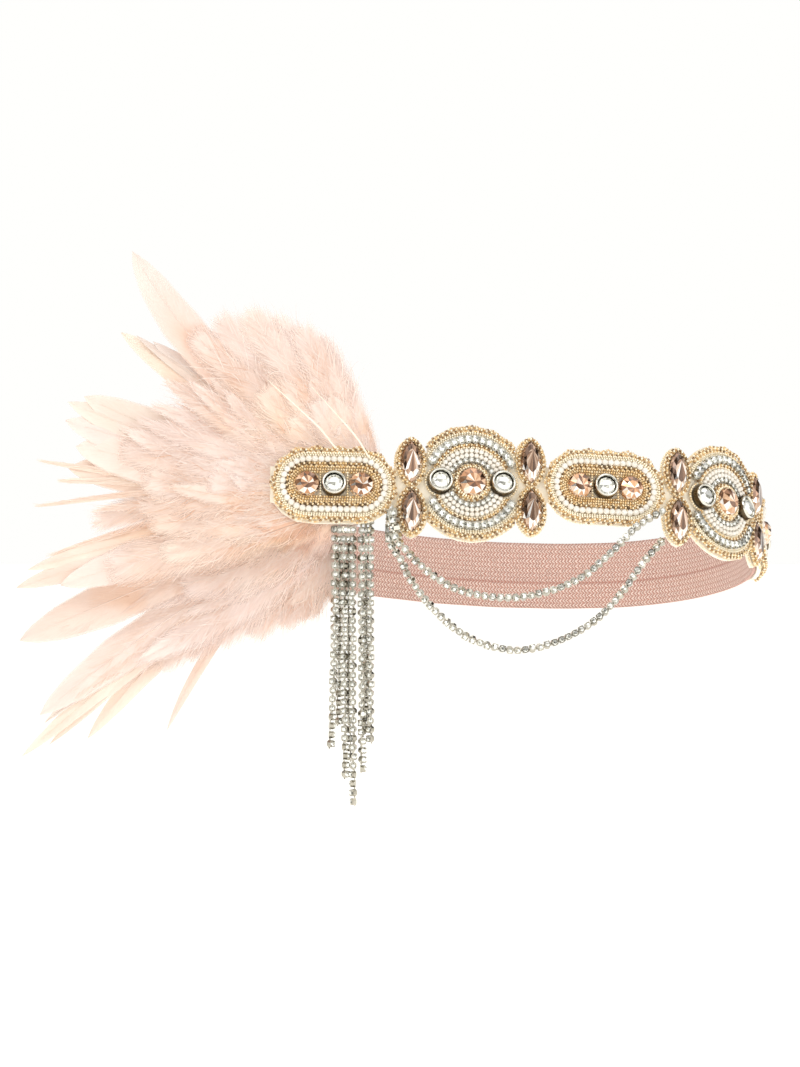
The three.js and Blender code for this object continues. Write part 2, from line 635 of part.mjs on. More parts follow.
// The tassel: each strand leaves its bar along the band and then hangs straight down.
function makeTassel() {
  const barLength = 4 * STRAND_PITCH + CHAIN_WIDTH;
  const bar = closed(new THREE.BoxGeometry(barLength, TASSEL_BAR_HEIGHT, CHAIN_THICKNESS));
  const barMesh = stand(new THREE.Mesh(bar), TASSEL_ALONG, -TASSEL_BAR_DROP, STRAND_MIDDLE);
  barMesh.updateMatrix();
  const band = new THREE.Matrix4().makeRotationFromEuler(tilt);
  const fused = [bar.clone().applyMatrix4(barMesh.matrix).applyMatrix4(band)];
  const leave = OVAL_HEIGHT / 2 + 3 * FELT_MARGIN;
  for (const { row, across, length, sway } of STRANDS) {
    const s = TASSEL_ALONG + across * STRAND_PITCH;
    const [top, within, edge] = [0, 0.6, 1].map((share) => (
      upright(wrap(s, -THREE.MathUtils.lerp(TASSEL_BAR_DROP, leave, share), STRAND_MIDDLE))));
    const setBack = row === 'back' ? STRAND_ROW_GAP : 0;
    const stops = [0, 0.25, 0.5, 0.75, 1].map((share) => {
      const drop = THREE.MathUtils.lerp(STRAND_SETTLE, length * STRAND_LENGTH, share);
      return edge.clone().add(new THREE.Vector3(sway * STRAND_PITCH * share ** 2, setBack, -drop));
    });
    const path = new THREE.CatmullRomCurve3([top, within, edge, ...stops], false, 'centripetal');
    fused.push(makeChain(path, 9));
  }
  return piece('tassel', fuse(fused), materials.chain);
}

// A place on the band that runs straight on beyond its left end.
function runOn(s, t, h) {
  const { heading } = along(0);
  const beyond = Math.min(0, s);
  return wrap(Math.max(0, s), t, h).add(new THREE.Vector3(Math.cos(heading), Math.sin(heading), 0)
    .multiplyScalar(beyond));
}

// The plume: flat tapering blades, one for each feather, fused to the pad that holds their quills.
function makePlume() {
  const section = [[-0.5, 0], [0, 0.5], [0.5, 0], [0, -0.5]];
  const inLayer = PAD_THICKNESS / FEATHER_THICKNESS;
  const standUp = Math.tan(radians(BAND_TILT));
  const blades = FEATHERS.map((feather) => {
    const { angle, hidden, lift, curl } = feather;
    const length = feather.length * FEATHER_LENGTH;
    const width = feather.width * FEATHER_WIDTH;
    const turn = (angle - 180) / 70;
    const shift = QUILL_SHIFT * Math.max(0, turn) ** 2;
    const root = PAD_ALONG + PAD_LENGTH * 0.2 - shift;
    const spine = new THREE.Vector2(root, PAD_RISE - (turn * QUILL_SPREAD) / 2);
    let reached = 0;
    const rings = FEATHER_FORM.map((form) => {
      const heading = radians(angle + curl * (form.at - 0.5));
      const step = (form.at - reached) * length;
      spine.add(new THREE.Vector2(Math.cos(heading), Math.sin(heading)).multiplyScalar(step));
      reached = form.at;
      const beyond = Math.max(0, form.at * length - hidden);
      const lifted = lift * THREE.MathUtils.smoothstep(beyond, 0, LIFT_LENGTH);
      const raised = PAD_FACE - PAD_THICKNESS / 2 + standUp * Math.sin(heading) * beyond + lifted;
      const room = beyond > 0 ? 1 : Math.min(1, inLayer);
      return section.map(([across, deep]) => runOn(
        spine.x - Math.sin(heading) * across * width * form.width,
        spine.y + Math.cos(heading) * across * width * form.width,
        raised + deep * FEATHER_THICKNESS * form.thickness * room));
    });
    return loft(rings, fill(section));
  });
  const corners = Array.from({ length: 20 }, (_, k) => {
    const angle = (2 * Math.PI * k) / 20;
    return [(Math.cos(angle) * PAD_LENGTH) / 2, (Math.sin(angle) * PAD_HEIGHT) / 2];
  });
  const pad = loft([PAD_FACE - PAD_THICKNESS, PAD_FACE].map((h) => (
    corners.map(([x, y]) => runOn(PAD_ALONG + x, PAD_RISE + y, h)))), fill(corners));
  return piece('feather_plume', fuse([pad, ...blades]), materials.feather);
}

const band = new THREE.Group();
band.rotation.copy(tilt);
band.add(makeElastic(), makeFelt(), ...motifs.flatMap(makeMotif), makePlume());

const headband = new THREE.Group();
headband.add(band, makeTassel());
for (const [name, swag] of Object.entries(SWAGS)) headband.add(makeSwag(name, swag));

export default headband;
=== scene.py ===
import math

import bpy
import numpy as np
from mathutils import Matrix, Vector


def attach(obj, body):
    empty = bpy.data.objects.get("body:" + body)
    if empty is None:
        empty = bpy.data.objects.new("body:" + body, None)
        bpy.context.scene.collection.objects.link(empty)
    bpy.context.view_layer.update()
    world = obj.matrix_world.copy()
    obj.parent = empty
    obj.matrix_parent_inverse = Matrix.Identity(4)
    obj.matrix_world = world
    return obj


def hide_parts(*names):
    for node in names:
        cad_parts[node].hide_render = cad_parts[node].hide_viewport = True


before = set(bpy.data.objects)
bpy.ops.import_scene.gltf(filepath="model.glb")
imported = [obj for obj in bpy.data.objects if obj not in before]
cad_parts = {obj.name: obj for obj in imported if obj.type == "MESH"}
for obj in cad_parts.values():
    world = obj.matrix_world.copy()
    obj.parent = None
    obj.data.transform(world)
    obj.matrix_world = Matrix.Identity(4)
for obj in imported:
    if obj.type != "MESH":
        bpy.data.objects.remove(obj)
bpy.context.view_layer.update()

# The elastic: a strip of blush ribbed knit, folded once along its length, that runs round the back of the
# head. Its ends are stitched to the felt behind the two end motifs. It is knitted, then cut to length.
MM = 0.001
FRONT_RADIUS, FRONT_LENGTH, FRONT_HEADING = 650 * MM, 125 * MM, math.radians(3)
TURN_RADIUS, BACK_HEADING, LEFT_HEADING = 57 * MM, math.radians(174), math.radians(257)
BAND_TILT = math.radians(14.2)
BAND_LENGTH = 220 * MM
ELASTIC_WIDTH, ELASTIC_THICKNESS, ELASTIC_LAP = 25 * MM, 1.2 * MM, 28 * MM
ELASTIC_RISE, ELASTIC_SET_BACK, RIPPLE = 0.5 * MM, 2.2 * MM, 0.25 * MM
CREASE_DROP, CREASE_DEPTH, CREASE_WIDTH = 3 * MM, 0.8 * MM, 2.2 * MM


def step_arc(place, radius, length):
    """Where a run along an arc has got to, as x, y and heading."""
    x, y, heading = place
    turned = heading + length / radius
    return (
        x + radius * (math.sin(turned) - math.sin(heading)),
        y - radius * (math.cos(turned) - math.cos(heading)),
        turned,
    )


def lay_loop():
    """The four arcs of the loop, as rows of start length, x, y, heading and radius, and its length."""
    start = (0.0, 0.0, FRONT_HEADING)
    turn = step_arc(start, FRONT_RADIUS, FRONT_LENGTH)
    turn_length = TURN_RADIUS * (BACK_HEADING - turn[2])
    back = step_arc(turn, TURN_RADIUS, turn_length)
    end = FRONT_HEADING + 2 * math.pi
    to_left = (math.sin(LEFT_HEADING) - math.sin(back[2]), math.cos(LEFT_HEADING) - math.cos(back[2]))
    to_end = (math.sin(end) - math.sin(LEFT_HEADING), math.cos(end) - math.cos(LEFT_HEADING))
    crossed = to_left[0] * to_end[1] - to_end[0] * to_left[1]
    back_radius = (-back[0] * to_end[1] - back[1] * to_end[0]) / crossed
    left_radius = (back[0] * to_left[1] + back[1] * to_left[0]) / crossed
    back_length = back_radius * (LEFT_HEADING - back[2])
    left = step_arc(back, back_radius, back_length)
    starts = [start, turn, back, left]
    radii = [FRONT_RADIUS, TURN_RADIUS, back_radius, left_radius]
    lengths = [FRONT_LENGTH, turn_length, back_length, left_radius * (end - LEFT_HEADING)]
    reached = np.concatenate([[0], np.cumsum(lengths)])
    rows = [(reached[i], *starts[i], radii[i]) for i in range(4)]
    return np.array(rows), reached[-1]


LOOP_ARCS, LOOP_LENGTH = lay_loop()


def on_plan(s):
    """x, y and heading at lengths s along the loop, before it is moved to the middle."""
    place = np.mod(s, LOOP_LENGTH)
    arc = LOOP_ARCS[np.searchsorted(LOOP_ARCS[:, 0], place, side="right") - 1]
    heading = arc[..., 3] + (place - arc[..., 0]) / arc[..., 4]
    x = arc[..., 1] + arc[..., 4] * (np.sin(heading) - np.sin(arc[..., 3]))
    y = arc[..., 2] - arc[..., 4] * (np.cos(heading) - np.cos(arc[..., 3]))
    return x, y, heading


def loop_middle():
    x, y, _ = on_plan(np.arange(720) * LOOP_LENGTH / 720)
    return (x.min() + x.max()) / 2, (y.min() + y.max()) / 2


MIDDLE_X, MIDDLE_Y = loop_middle()


def tilted(points):
    """Points of the level band, leaned so that its back hangs below its front."""
    x, y, z = np.moveaxis(np.asarray(points, float), -1, 0)
    cos, sin = math.cos(BAND_TILT), math.sin(BAND_TILT)
    return np.stack([x, y * cos + z * sin, -y * sin + z * cos], -1)


def on_band(s, t, h):
    """Places on the band: s along it, t up and h outward. Past its left end it runs straight on."""
    s, t, h = np.broadcast_arrays(np.asarray(s, float), t, h)
    x, y, heading = on_plan(np.maximum(s, 0))
    beyond = np.minimum(s, 0)
    x = x + h * np.sin(heading) + beyond * np.cos(heading) - MIDDLE_X
    y = y - h * np.cos(heading) + beyond * np.sin(heading) - MIDDLE_Y
    return tilted(np.stack([x, y, t], -1))


def eased(share):
    """A share from 0 to 1 that starts and ends slowly."""
    share = np.clip(share, 0, 1)
    return share * share * (3 - 2 * share)


def edit(piece):
    """Makes a piece the only selected one, ready for the operators."""
    bpy.ops.object.select_all(action="DESELECT")
    piece.select_set(True)
    bpy.context.view_layer.objects.active = piece


class Socket:
    """An output of a shader node. Arithmetic with it adds Math nodes."""

    def __init__(self, nodes, output):
        self.nodes, self.output = nodes, output

    def out(self, name):
        return Socket(self.nodes, self.output.node.outputs[name])


def math_method(operation, turned):
    """A method for sockets that adds one Math node, with the socket last where it is turned."""

    def method(self, *others):
        values = (*others, self) if turned else (self, *others)
        return self.nodes.node("ShaderNodeMath", dict(enumerate(values)), operation=operation)

    return method


MATH_METHODS = {"ADD": ["__add__", "__radd__"], "SUBTRACT": ["__sub__", "__rsub__"],
                "MULTIPLY": ["__mul__", "__rmul__"], "DIVIDE": ["__truediv__"], "POWER": ["__pow__"],
                "ABSOLUTE": ["__abs__"], "SINE": ["wave"], "FRACT": ["part"]}
for operation, methods in MATH_METHODS.items():
    for name in methods:
        setattr(Socket, name, math_method(operation, name == "__rsub__"))


class Nodes:
    """The nodes of a material or of the world, added one by one with their inputs and settings."""

    def __init__(self, owner):
        owner.use_nodes = True
        self.tree = owner.node_tree
        self.tree.nodes.clear()

    def node(self, kind, inputs=None, **settings):
        node = self.tree.nodes.new(kind)
        for key, value in settings.items():
            setattr(node, key, value)
        for key, value in (inputs or {}).items():
            self.feed(node.inputs[key], value)
        return Socket(self, node.outputs[0]) if node.outputs else node

    def feed(self, socket, value):
        if isinstance(value, Socket):
            self.tree.links.new(value.output, socket)
        else:
            socket.default_value = value

    def clamped(self, operation, first, second):
        """A Math node's result, held between 0 and 1."""
        return self.node("ShaderNodeMath", {0: first, 1: second}, operation=operation, use_clamp=True)

    def kept(self, name):
        """A number that the mesh keeps on its points or faces."""
        return self.node("ShaderNodeAttribute", attribute_name=name).out("Fac")

    def noise(self, scale, detail=3.0, vector=None):
        vector = vector or self.node("ShaderNodeTexCoord").out("Object")
        return self.node("ShaderNodeTexNoise", {"Scale": scale, "Detail": detail, "Vector": vector})

    def ramp(self, share, *stops):
        """A colour from a ramp of stops, each a place and a colour."""
        made = self.node("ShaderNodeValToRGB", {0: share})
        elements = made.output.node.color_ramp.elements
        while len(elements) < len(stops):
            elements.new(0.5)
        for element, (at, shade) in zip(elements, stops):
            element.position, element.color = at, shade
        return made

    def blend(self, share, first, second):
        """A colour between two, by a share."""
        mixed = self.node("ShaderNodeMix", data_type="RGBA").output.node
        for key, value in ((0, share), (6, first), (7, second)):
            self.feed(mixed.inputs[key], value)
        return Socket(self, mixed.outputs[2])


class Finish(Nodes):
    """A material with one Principled shader."""

    def __init__(self, name, **shader):
        self.material = bpy.data.materials.new(name)
        super().__init__(self.material)
        surface = self.node("ShaderNodeBsdfPrincipled")
        self.shader = surface.output.node
        self.node("ShaderNodeOutputMaterial", {"Surface": surface})
        for socket, value in shader.items():
            self.set(socket.replace("_", " ").title(), value)

    def set(self, socket, value):
        self.feed(self.shader.inputs[socket], value)

    def bump(self, height, depth, strength=1.0):
        inputs = {"Height": height, "Distance": depth, "Strength": strength}
        self.set("Normal", self.node("ShaderNodeBump", inputs))

    def painted_glow(self, tint, strength):
        """Painted light: a little light of its own, though it is no lamp, for the light that passes through
        or between its pieces.
        """
        self.set("Emission Color", tint)
        self.set("Emission Strength", strength)


def colour(*screen):
    """A screen colour from 0 to 255 as the linear colour that a socket takes."""
    shares = [c / 255 for c in screen]
    return (*(c / 12.92 if c <= 0.04045 else ((c + 0.055) / 1.055) ** 2.4 for c in shares), 1.0)


def knit_finish():
    """Ribbed knit: narrow wales of slanted stitches that make a V, with lighter threads between. Its relief
    is painted into the colour: painted shade in the stitch hollows and along the crease, painted light on
    the stitch crests.
    """
    wale_width, stitch_length, crease_width = 1.9, 1.25, 0.9
    finish = Finish("blush_knit", roughness=0.85, sheen_weight=0.2)
    place = finish.node("ShaderNodeSeparateXYZ", {0: finish.node("ShaderNodeUVMap")})
    length, width = place * (1 / MM) + finish.noise(420) * 1.4, place.out("Y") * (1 / MM)
    slant = abs((width / wale_width).part() - 0.5) * 2
    stitch = ((length / stitch_length + slant * 0.8) * (2 * math.pi)).wave() * 0.5 + 0.5
    height = stitch * (1 - slant**4 * 0.7)
    # painted shade and light: the colour follows the stitch height, darker in the hollows and paler on the
    # crests
    stitch_relief_shade = finish.blend(height, colour(176, 120, 104), colour(255, 234, 224))
    body = finish.blend(finish.noise(160, 4.0) * 0.4, stitch_relief_shade, colour(222, 180, 164))
    # painted shade: a darker line along the crease, where the fold dips
    crease = 1 - abs(width - (ELASTIC_WIDTH / 2 - CREASE_DROP) / MM) / crease_width
    folded = finish.clamped("MULTIPLY", crease, 0.55)
    finish.set("Base Color", finish.blend(folded, body, colour(176, 118, 104)))
    finish.bump(height, 0.3 * MM)
    return finish.material


def make_elastic():
    start = BAND_LENGTH - ELASTIC_LAP
    length = LOOP_LENGTH + ELASTIC_LAP - start
    bpy.ops.object.select_all(action="DESELECT")
    bpy.ops.mesh.primitive_grid_add(x_subdivisions=300, y_subdivisions=16, size=1)
    elastic = bpy.context.object
    elastic.name = elastic.data.name = "elastic_knit"
    flat = np.array([v.co[:] for v in elastic.data.vertices])
    share, across = flat[:, 0] + 0.5, flat[:, 1]
    t = ELASTIC_RISE + across * ELASTIC_WIDTH
    from_crease = (t + CREASE_DROP - ELASTIC_RISE) / CREASE_WIDTH
    fold = np.exp(-(from_crease**2)) * CREASE_DEPTH
    ripple = RIPPLE * np.sin(share * 90) * (2 * across) ** 2
    h = (ripple - fold) * np.sin(np.pi * share) - ELASTIC_SET_BACK * eased((share - 0.1) / 0.8)
    points = on_band(start + share * length, t, h)
    elastic.data.vertices.foreach_set("co", points.astype(np.float32).ravel())
    for loop, uv in zip(elastic.data.loops, elastic.data.uv_layers[0].data):
        uv.uv = (share[loop.vertex_index] * length, (across[loop.vertex_index] + 0.5) * ELASTIC_WIDTH)
    elastic.data.update()
    edit(elastic)
    thick = elastic.modifiers.new("cloth", "SOLIDIFY")
    thick.thickness, thick.offset = ELASTIC_THICKNESS, 0
    bpy.ops.object.modifier_apply(modifier="cloth")
    bpy.ops.object.shade_smooth()
    elastic.data.materials.append(knit_finish())
    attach(elastic, "root")
    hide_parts("elastic_band")


make_elastic()

# The felt backing: one strip of cream wool felt under all nine motifs, cut close round their outlines.
# The beads and stones are sewn to its face and the elastic to its back.
def felt_finish():
    finish = Finish("cream_felt", roughness=0.95, sheen_weight=0.3)
    fibres = finish.noise(1400, 6.0)
    clumps = finish.noise(220, 3.0)
    pale = finish.blend(clumps, colour(248, 238, 218), colour(255, 250, 238))
    finish.set("Base Color", finish.blend(fibres * 0.5, pale, colour(240, 226, 200)))
    finish.bump(fibres, 0.3 * MM, 0.6)
    return finish.material


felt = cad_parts["felt_backing"]
felt.data.materials.clear()
felt.data.materials.append(felt_finish())

# The plume: about a hundred and fifty dyed feathers in three layers, fanned out to the left from one spot
# behind the first motif. Each has a tapering shaft and a soft vane of fine barbs, most have down too.
PLUME_ROOT, MOTIF_MIDDLE, FILLERS = (34.5 * MM, -1.2 * MM), 19.8 * MM, 110
ROOT_SPREAD, ROOT_SHIFT, FELT_REACH, FELT_RISE, FELT_DROP = 5 * MM, 14 * MM, 36 * MM, 13 * MM, 12 * MM
LIFT_LENGTH, PAD_DEPTH, FALL_DIVE = 25 * MM, -0.2 * MM, 7.5 * MM
SHAFT_POINTS = 60
MAIN_FEATHERS = [
    # form, tip from the middle of the first motif, width, curl, lift, dye
    ("round", (-6, 50), 13, 6, -0.5, 0.1),
    ("round", (-12, 53), 15, 6, 1.0, 0.25),
    ("round", (-20, 56), 15, 4, 0.0, 0.1),
    ("round", (-29, 58), 16, 4, 1.5, 0.3),
    ("round", (-39, 56), 16, 0, 0.5, 0.15),
    ("round", (-47, 50), 14, -4, 2.0, 0.3),
    ("blade", (-66.5, 76), 14, -34, -1.0, 0.12),
    ("blade", (-70, 50.5), 10, -8, -1.5, 0.78),
    ("blade", (-65, 49.5), 5, -8, -0.5, 0.95),
    ("blade", (-59.6, 47.8), 8, -10, -1.0, 1.0),
    ("hackle", (-55, 34), 16, -6, 1.5, 0.3),
    ("blade", (-81.7, 29), 14, -16, -1.5, 0.88),
    ("blade", (-86.9, 27), 12, -14, -1.0, 0.86),
    ("blade", (-87.5, 20.6), 15, -8, -0.5, 0.1),
    ("blade", (-84, 12), 18, -6, 0.5, 0.35),
    ("blade", (-86.2, 5), 16, 2, 0.0, 0.6),
    ("wisp", (-95.3, 7), 5, -8, 0.0, 0.7),
    ("wisp", (-88.8, 0.5), 6, 4, 1.0, 0.7),
    ("wisp", (-96, -7.5), 4, 12, 1.0, 0.6),
    ("hackle", (-78, -9), 7, 10, 0.5, 0.5),
    ("wisp", (-92.1, -23.5), 4, 18, 0.0, 0.6),
    ("blade", (-99.2, -28.4), 8, 8, -0.5, 0.7),
    ("blade", (-102.4, -34.5), 10, 8, 0.0, 0.5),
    ("blade", (-88, -34), 14, 6, 1.0, 0.3),
    ("blade", (-101.8, -50.4), 16, 4, 1.5, 0.35),
    ("hackle", (-88, -47), 16, 6, 2.0, 0.3),
    ("blade", (-95, -74.4), 14, 12, 1.0, 0.2),
    ("blade", (-93.5, -77), 6, 14, 1.8, 0.9),
    ("blade", (-100.8, -88), 7, 10, 0.0, 0.75),
    ("blade", (-92, -84), 6, 14, 0.5, 0.7),
    ("hackle", (-84, -68), 15, 14, 2.0, 0.5),
    ("blade", (-79.7, -81.8), 8, 24, 0.5, 0.65),
    ("hackle", (-70, -64), 16, 16, 0.0, 0.2),
    ("round", (-58, -58), 16, 8, 0.5, 0.3),
    ("blade", (-53.8, -78.9), 4, 34, -0.5, 0.4),
    ("round", (-47, -55), 12, 12, 0.0, 0.2),
    ("round", (-38.6, -50), 16, 6, 0.5, 0.2),
    ("round", (-27.2, -47.5), 16, 4, 0.0, 0.25),
    ("round", (-16.5, -44.5), 14, 2, 0.5, 0.2),
    ("round", (-7.5, -41), 11, 0, 0.0, 0.3),
]
FORM_AT = [0, 0.14, 0.34, 0.54, 0.73, 0.88, 0.96, 1]
FORM_WIDTHS = {
    "blade": [0.1, 0.3, 0.62, 0.88, 1.0, 0.7, 0.36, 0.02],
    "hackle": [0.14, 0.5, 0.95, 1.0, 0.8, 0.5, 0.25, 0.05],
    "round": [0.14, 0.5, 0.85, 1.0, 1.0, 0.9, 0.66, 0.3],
    "wisp": [0.3, 0.8, 1.0, 0.8, 0.6, 0.4, 0.3, 0.1],
}
BARB_LEANS = {"blade": [50, 32, 16, 6], "hackle": [58, 40, 22, 10], "round": [58, 42, 30, 16],
              "wisp": [20, 14, 8, 4]}
RAGGED = {"blade": 0.1, "hackle": 0.75, "round": 1.0, "wisp": 0.1}


def new_object(name, data):
    made = bpy.data.objects.new(name, data)
    bpy.context.scene.collection.objects.link(made)
    return made


def new_mesh(name, points, corners, starts):
    """A mesh from its points, the points at the corners of its faces, and the first corner of each face."""
    mesh = bpy.data.meshes.new(name)
    mesh.vertices.add(len(points))
    mesh.loops.add(len(corners))
    mesh.polygons.add(len(starts))
    mesh.vertices.foreach_set("co", points.astype(np.float32).ravel())
    mesh.loops.foreach_set("vertex_index", corners.astype(np.int32))
    mesh.polygons.foreach_set("loop_start", starts.astype(np.int32))
    mesh.update(calc_edges=True)
    return mesh


def keep_number(mesh, name, domain, values):
    """Keeps a number for each point or each face of a mesh."""
    mesh.attributes.new(name, "FLOAT", domain).data.foreach_set("value", values.astype(np.float32).ravel())


def joined_mesh(name, parts, attributes=()):
    """One piece from parts, each of points, four-sided faces, and the map and numbers kept on its points."""
    starts = np.cumsum([0] + [len(points) for points, _, _ in parts])
    points = np.concatenate([part[0] for part in parts])
    faces = np.concatenate([part[1] + start for part, start in zip(parts, starts)])
    mesh = new_mesh(name, points, faces.ravel(), np.arange(0, faces.size, 4))
    for key in attributes:
        values = np.concatenate([kept.get(key, np.zeros(len(p))) for p, _, kept in parts])
        keep_number(mesh, key, "POINT", values)
    uv = np.concatenate([kept.get("uv", np.zeros((len(p), 2))) for p, _, kept in parts])
    mesh.uv_layers.new(name="UVMap").data.foreach_set("uv", uv[faces.ravel()].astype(np.float32).ravel())
    mesh.shade_smooth()
    return new_object(name, mesh)


def unit(vectors):
    return vectors / np.maximum(np.linalg.norm(vectors, axis=-1, keepdims=True), 1e-12)


def grid_faces(rows, columns, wrapped=False):
    """Four-sided faces between rows of points, each with as many columns."""
    here = np.arange(rows - 1)[:, None] * columns + np.arange(columns if wrapped else columns - 1)[None]
    step = np.ones(here.shape[1], int)
    if wrapped:
        step[-1] = 1 - columns
    return np.stack([here, here + step, here + step + columns, here + columns], -1).reshape(-1, 4)


def barb_strips(paths, widths, faced):
    """Flat strips along paths, as points and faces. paths is (strips, steps, 3) and faced their normals."""
    along = np.gradient(paths, axis=1)
    side = unit(np.cross(along, faced[:, None, :])) * widths[..., None] / 2
    points = np.stack([paths - side, paths + side], 2)
    strips, steps = paths.shape[:2]
    first = (np.arange(strips)[:, None] * steps + np.arange(steps - 1)[None]) * 2
    faces = np.stack([first, first + 1, first + 3, first + 2], -1)
    return points.reshape(-1, 3), faces.reshape(-1, 4)


class Feather:
    """One feather's measures, and the line of its shaft in the band's plane from the root to the tip."""

    def __init__(self, form, tip, width, curl, lift, dye):
        self.form, self.width, self.dye = form, width, dye
        away = math.atan2(tip[1], tip[0] - (PLUME_ROOT[0] - MOTIF_MIDDLE)) % (2 * math.pi)
        turn = (away - math.pi) / math.radians(70)
        root = (PLUME_ROOT[0] - ROOT_SHIFT * max(0, turn) ** 2, PLUME_ROOT[1] - ROOT_SPREAD * turn)
        reach = (MOTIF_MIDDLE + tip[0] - root[0], tip[1] * math.cos(BAND_TILT) - root[1])
        chord, self.angle = math.hypot(*reach), math.atan2(reach[1], reach[0]) % (2 * math.pi)
        half = math.radians(curl) / 2
        self.length = chord * (half / math.sin(half) if half else 1)
        falling = math.sin(self.angle) < -0.3
        lift = min(lift, 1 * MM) - FALL_DIVE if falling else lift
        covered = FELT_DROP + root[1] if falling else FELT_RISE
        self.hidden = min(FELT_REACH, covered / max(0.1, abs(math.sin(self.angle))))
        lift_length = LIFT_LENGTH * (0.18 if falling else 1)
        self.first_barb = (self.hidden + lift_length) / self.length if falling else 0.1
        self.share = np.linspace(0, 1, SHAFT_POINTS)
        self.heading = self.angle + 2 * half * (self.share - 0.5)
        step = self.length / (SHAFT_POINTS - 1)
        between = (self.heading[1:] + self.heading[:-1]) / 2
        self.s = root[0] + np.concatenate([[0], np.cumsum(np.cos(between) * step)])
        self.t = root[1] + np.concatenate([[0], np.cumsum(np.sin(between) * step)])
        beyond = np.maximum(0, self.share * self.length - self.hidden)
        upright = math.tan(BAND_TILT) * np.sin(self.heading) * beyond
        self.h = PAD_DEPTH + upright + lift * eased(beyond / lift_length)

    def at(self, share):
        """Place, heading, half width and lean of the barbs at shares of the length."""
        lines = [np.interp(share, self.share, line) for line in (self.s, self.t, self.h, self.heading)]
        half = np.interp(share, FORM_AT, FORM_WIDTHS[self.form]) * self.width / 2
        lean = np.radians(np.interp(share, [0, 0.3, 0.8, 1], BARB_LEANS[self.form]))
        return *lines, half, lean

    def free(self, share):
        """How far a place has left the felt's cover, from 0 to 1."""
        return np.clip((share * self.length - self.hidden * 0.6) / (20 * MM), 0, 1)

    def beside(self, at, ahead, aside, off, stray=0.0, clear=0.0):
        """Points on the band beside the shaft: ahead along it, aside from it and off the plume's plane."""
        s, t, h, heading = (line[:, None] for line in self.at(at)[:4])
        cos, sin = np.cos(heading), np.sin(heading)
        climb = math.tan(BAND_TILT) * sin * ahead
        return on_band(s + cos * ahead - sin * aside + stray, t + sin * ahead + cos * aside - stray,
                       h + (climb + off) * self.free(at)[:, None] + clear)


def vane(feather, rng):
    """The closed web of a feather as a thin sheet, with the map that its streaks follow."""
    rows, columns = 36, 9
    share = np.linspace(0.08, 1, rows)[:, None]
    across = np.linspace(-1, 1, columns)[None]
    half, lean = (line[:, None] for line in feather.at(share[:, 0])[4:])
    reach = half * across
    phase = feather.angle * 40
    wave = np.sin(share * 9 + phase) * 0.6 * MM + np.sin(share * 23 + across * 2 + phase) * 0.3 * MM
    off = wave * np.abs(across) - 0.25 * reach**2 / feather.width
    points = feather.beside(share[:, 0], np.abs(reach) * 0.3, reach, off)
    along_barbs = share * feather.length - np.abs(reach) / np.tan(lean + 0.1)
    beside_shaft = np.broadcast_to(np.abs(across) * 2 + (across > 0) * 9, reach.shape)
    # painted shade: pale grows toward the tip, so each vane is darker toward its root, where it lies under
    # the feathers before it; the paler tip is partly the feather's own colour
    pale = np.clip(0.05 + 0.85 * share**1.2 + 0.12 * across**2 + rng.normal(0, 0.04), 0, 1)
    ragged = RAGGED[feather.form]
    edge = np.maximum(np.abs(across), (share - 0.93) / 0.07 * min(1, ragged * 1.3))
    return points.reshape(-1, 3), grid_faces(rows, columns), {
        "uv": np.stack([along_barbs / MM + phase, beside_shaft], -1).reshape(-1, 2),
        "pale": pale.ravel(), "edge": edge.ravel(), "ragged": np.full(reach.size, ragged)}


def curled(bend, reach, sign):
    """Lines that leave the shaft at the first angle of bend and turn with it, as lengths ahead and aside."""
    step = reach / (bend.shape[1] - 1)
    ahead = (np.cumsum(np.cos(bend), 1) - np.cos(bend[:, :1])) * step
    aside = (np.cumsum(np.sin(bend), 1) - np.sin(bend[:, :1])) * step * sign
    return ahead, aside


def barbs(feather, rng, pitch, steps=5):
    """The fine barbs of a feather, as long as its vane is wide, as paths with widths and paleness."""
    last = 0.6 if feather.form == "blade" else 0.99
    count = int(feather.length * (last - 0.1) / pitch)
    at = np.repeat(np.linspace(feather.first_barb, last, count), 2) + rng.normal(0, 0.003, 2 * count)
    sign = np.tile([1.0, -1.0], count)
    half, lean = feather.at(at)[4:]
    phase = feather.angle * 57
    clump = np.sin(at * 40 + phase + sign) * 0.07 + np.sin(at * 97 + 2 * phase) * 0.05
    split = RAGGED[feather.form] * np.maximum(0, np.sin(at * 31 + phase * sign)) * 0.3
    longer = rng.uniform(0.7, 1.05, 2 * count) + split
    lean = lean * (1 + clump) * rng.uniform(0.85, 1.1, 2 * count)
    reach = np.minimum(half * longer / np.sin(lean), 0.3 * feather.length)
    reach = np.minimum(reach, ((1 - at) * feather.length + 1.2 * MM) / np.cos(lean))
    run = np.linspace(0, 1, steps)[None]
    bend = lean[:, None] * (1 - rng.uniform(0, 0.8, (2 * count, 1)) * run)
    ahead, aside = curled(bend, reach[:, None], sign[:, None])
    stray = rng.normal(0, 0.3 * MM, (2 * count, 1)) * run**2
    puff = rng.normal(0.3 * MM, 0.5 * MM, (2 * count, 1)) * run**1.5
    paths = feather.beside(at, ahead, aside, puff - 0.25 * aside**2 / feather.width, stray, 0.12 * MM)
    widths = np.interp(run, [0, 0.6, 1], [1, 0.8, 0.1]) * rng.uniform(0.12, 0.24, (2 * count, 1)) * MM
    # painted shade: barbs are darker toward the root, where they lie under other feathers, and paler toward
    # the tip
    pale = np.clip(0.1 + 0.8 * at[:, None] + 0.15 * run + rng.normal(0, 0.16, (2 * count, 1)), 0, 1)
    return paths, widths, pale


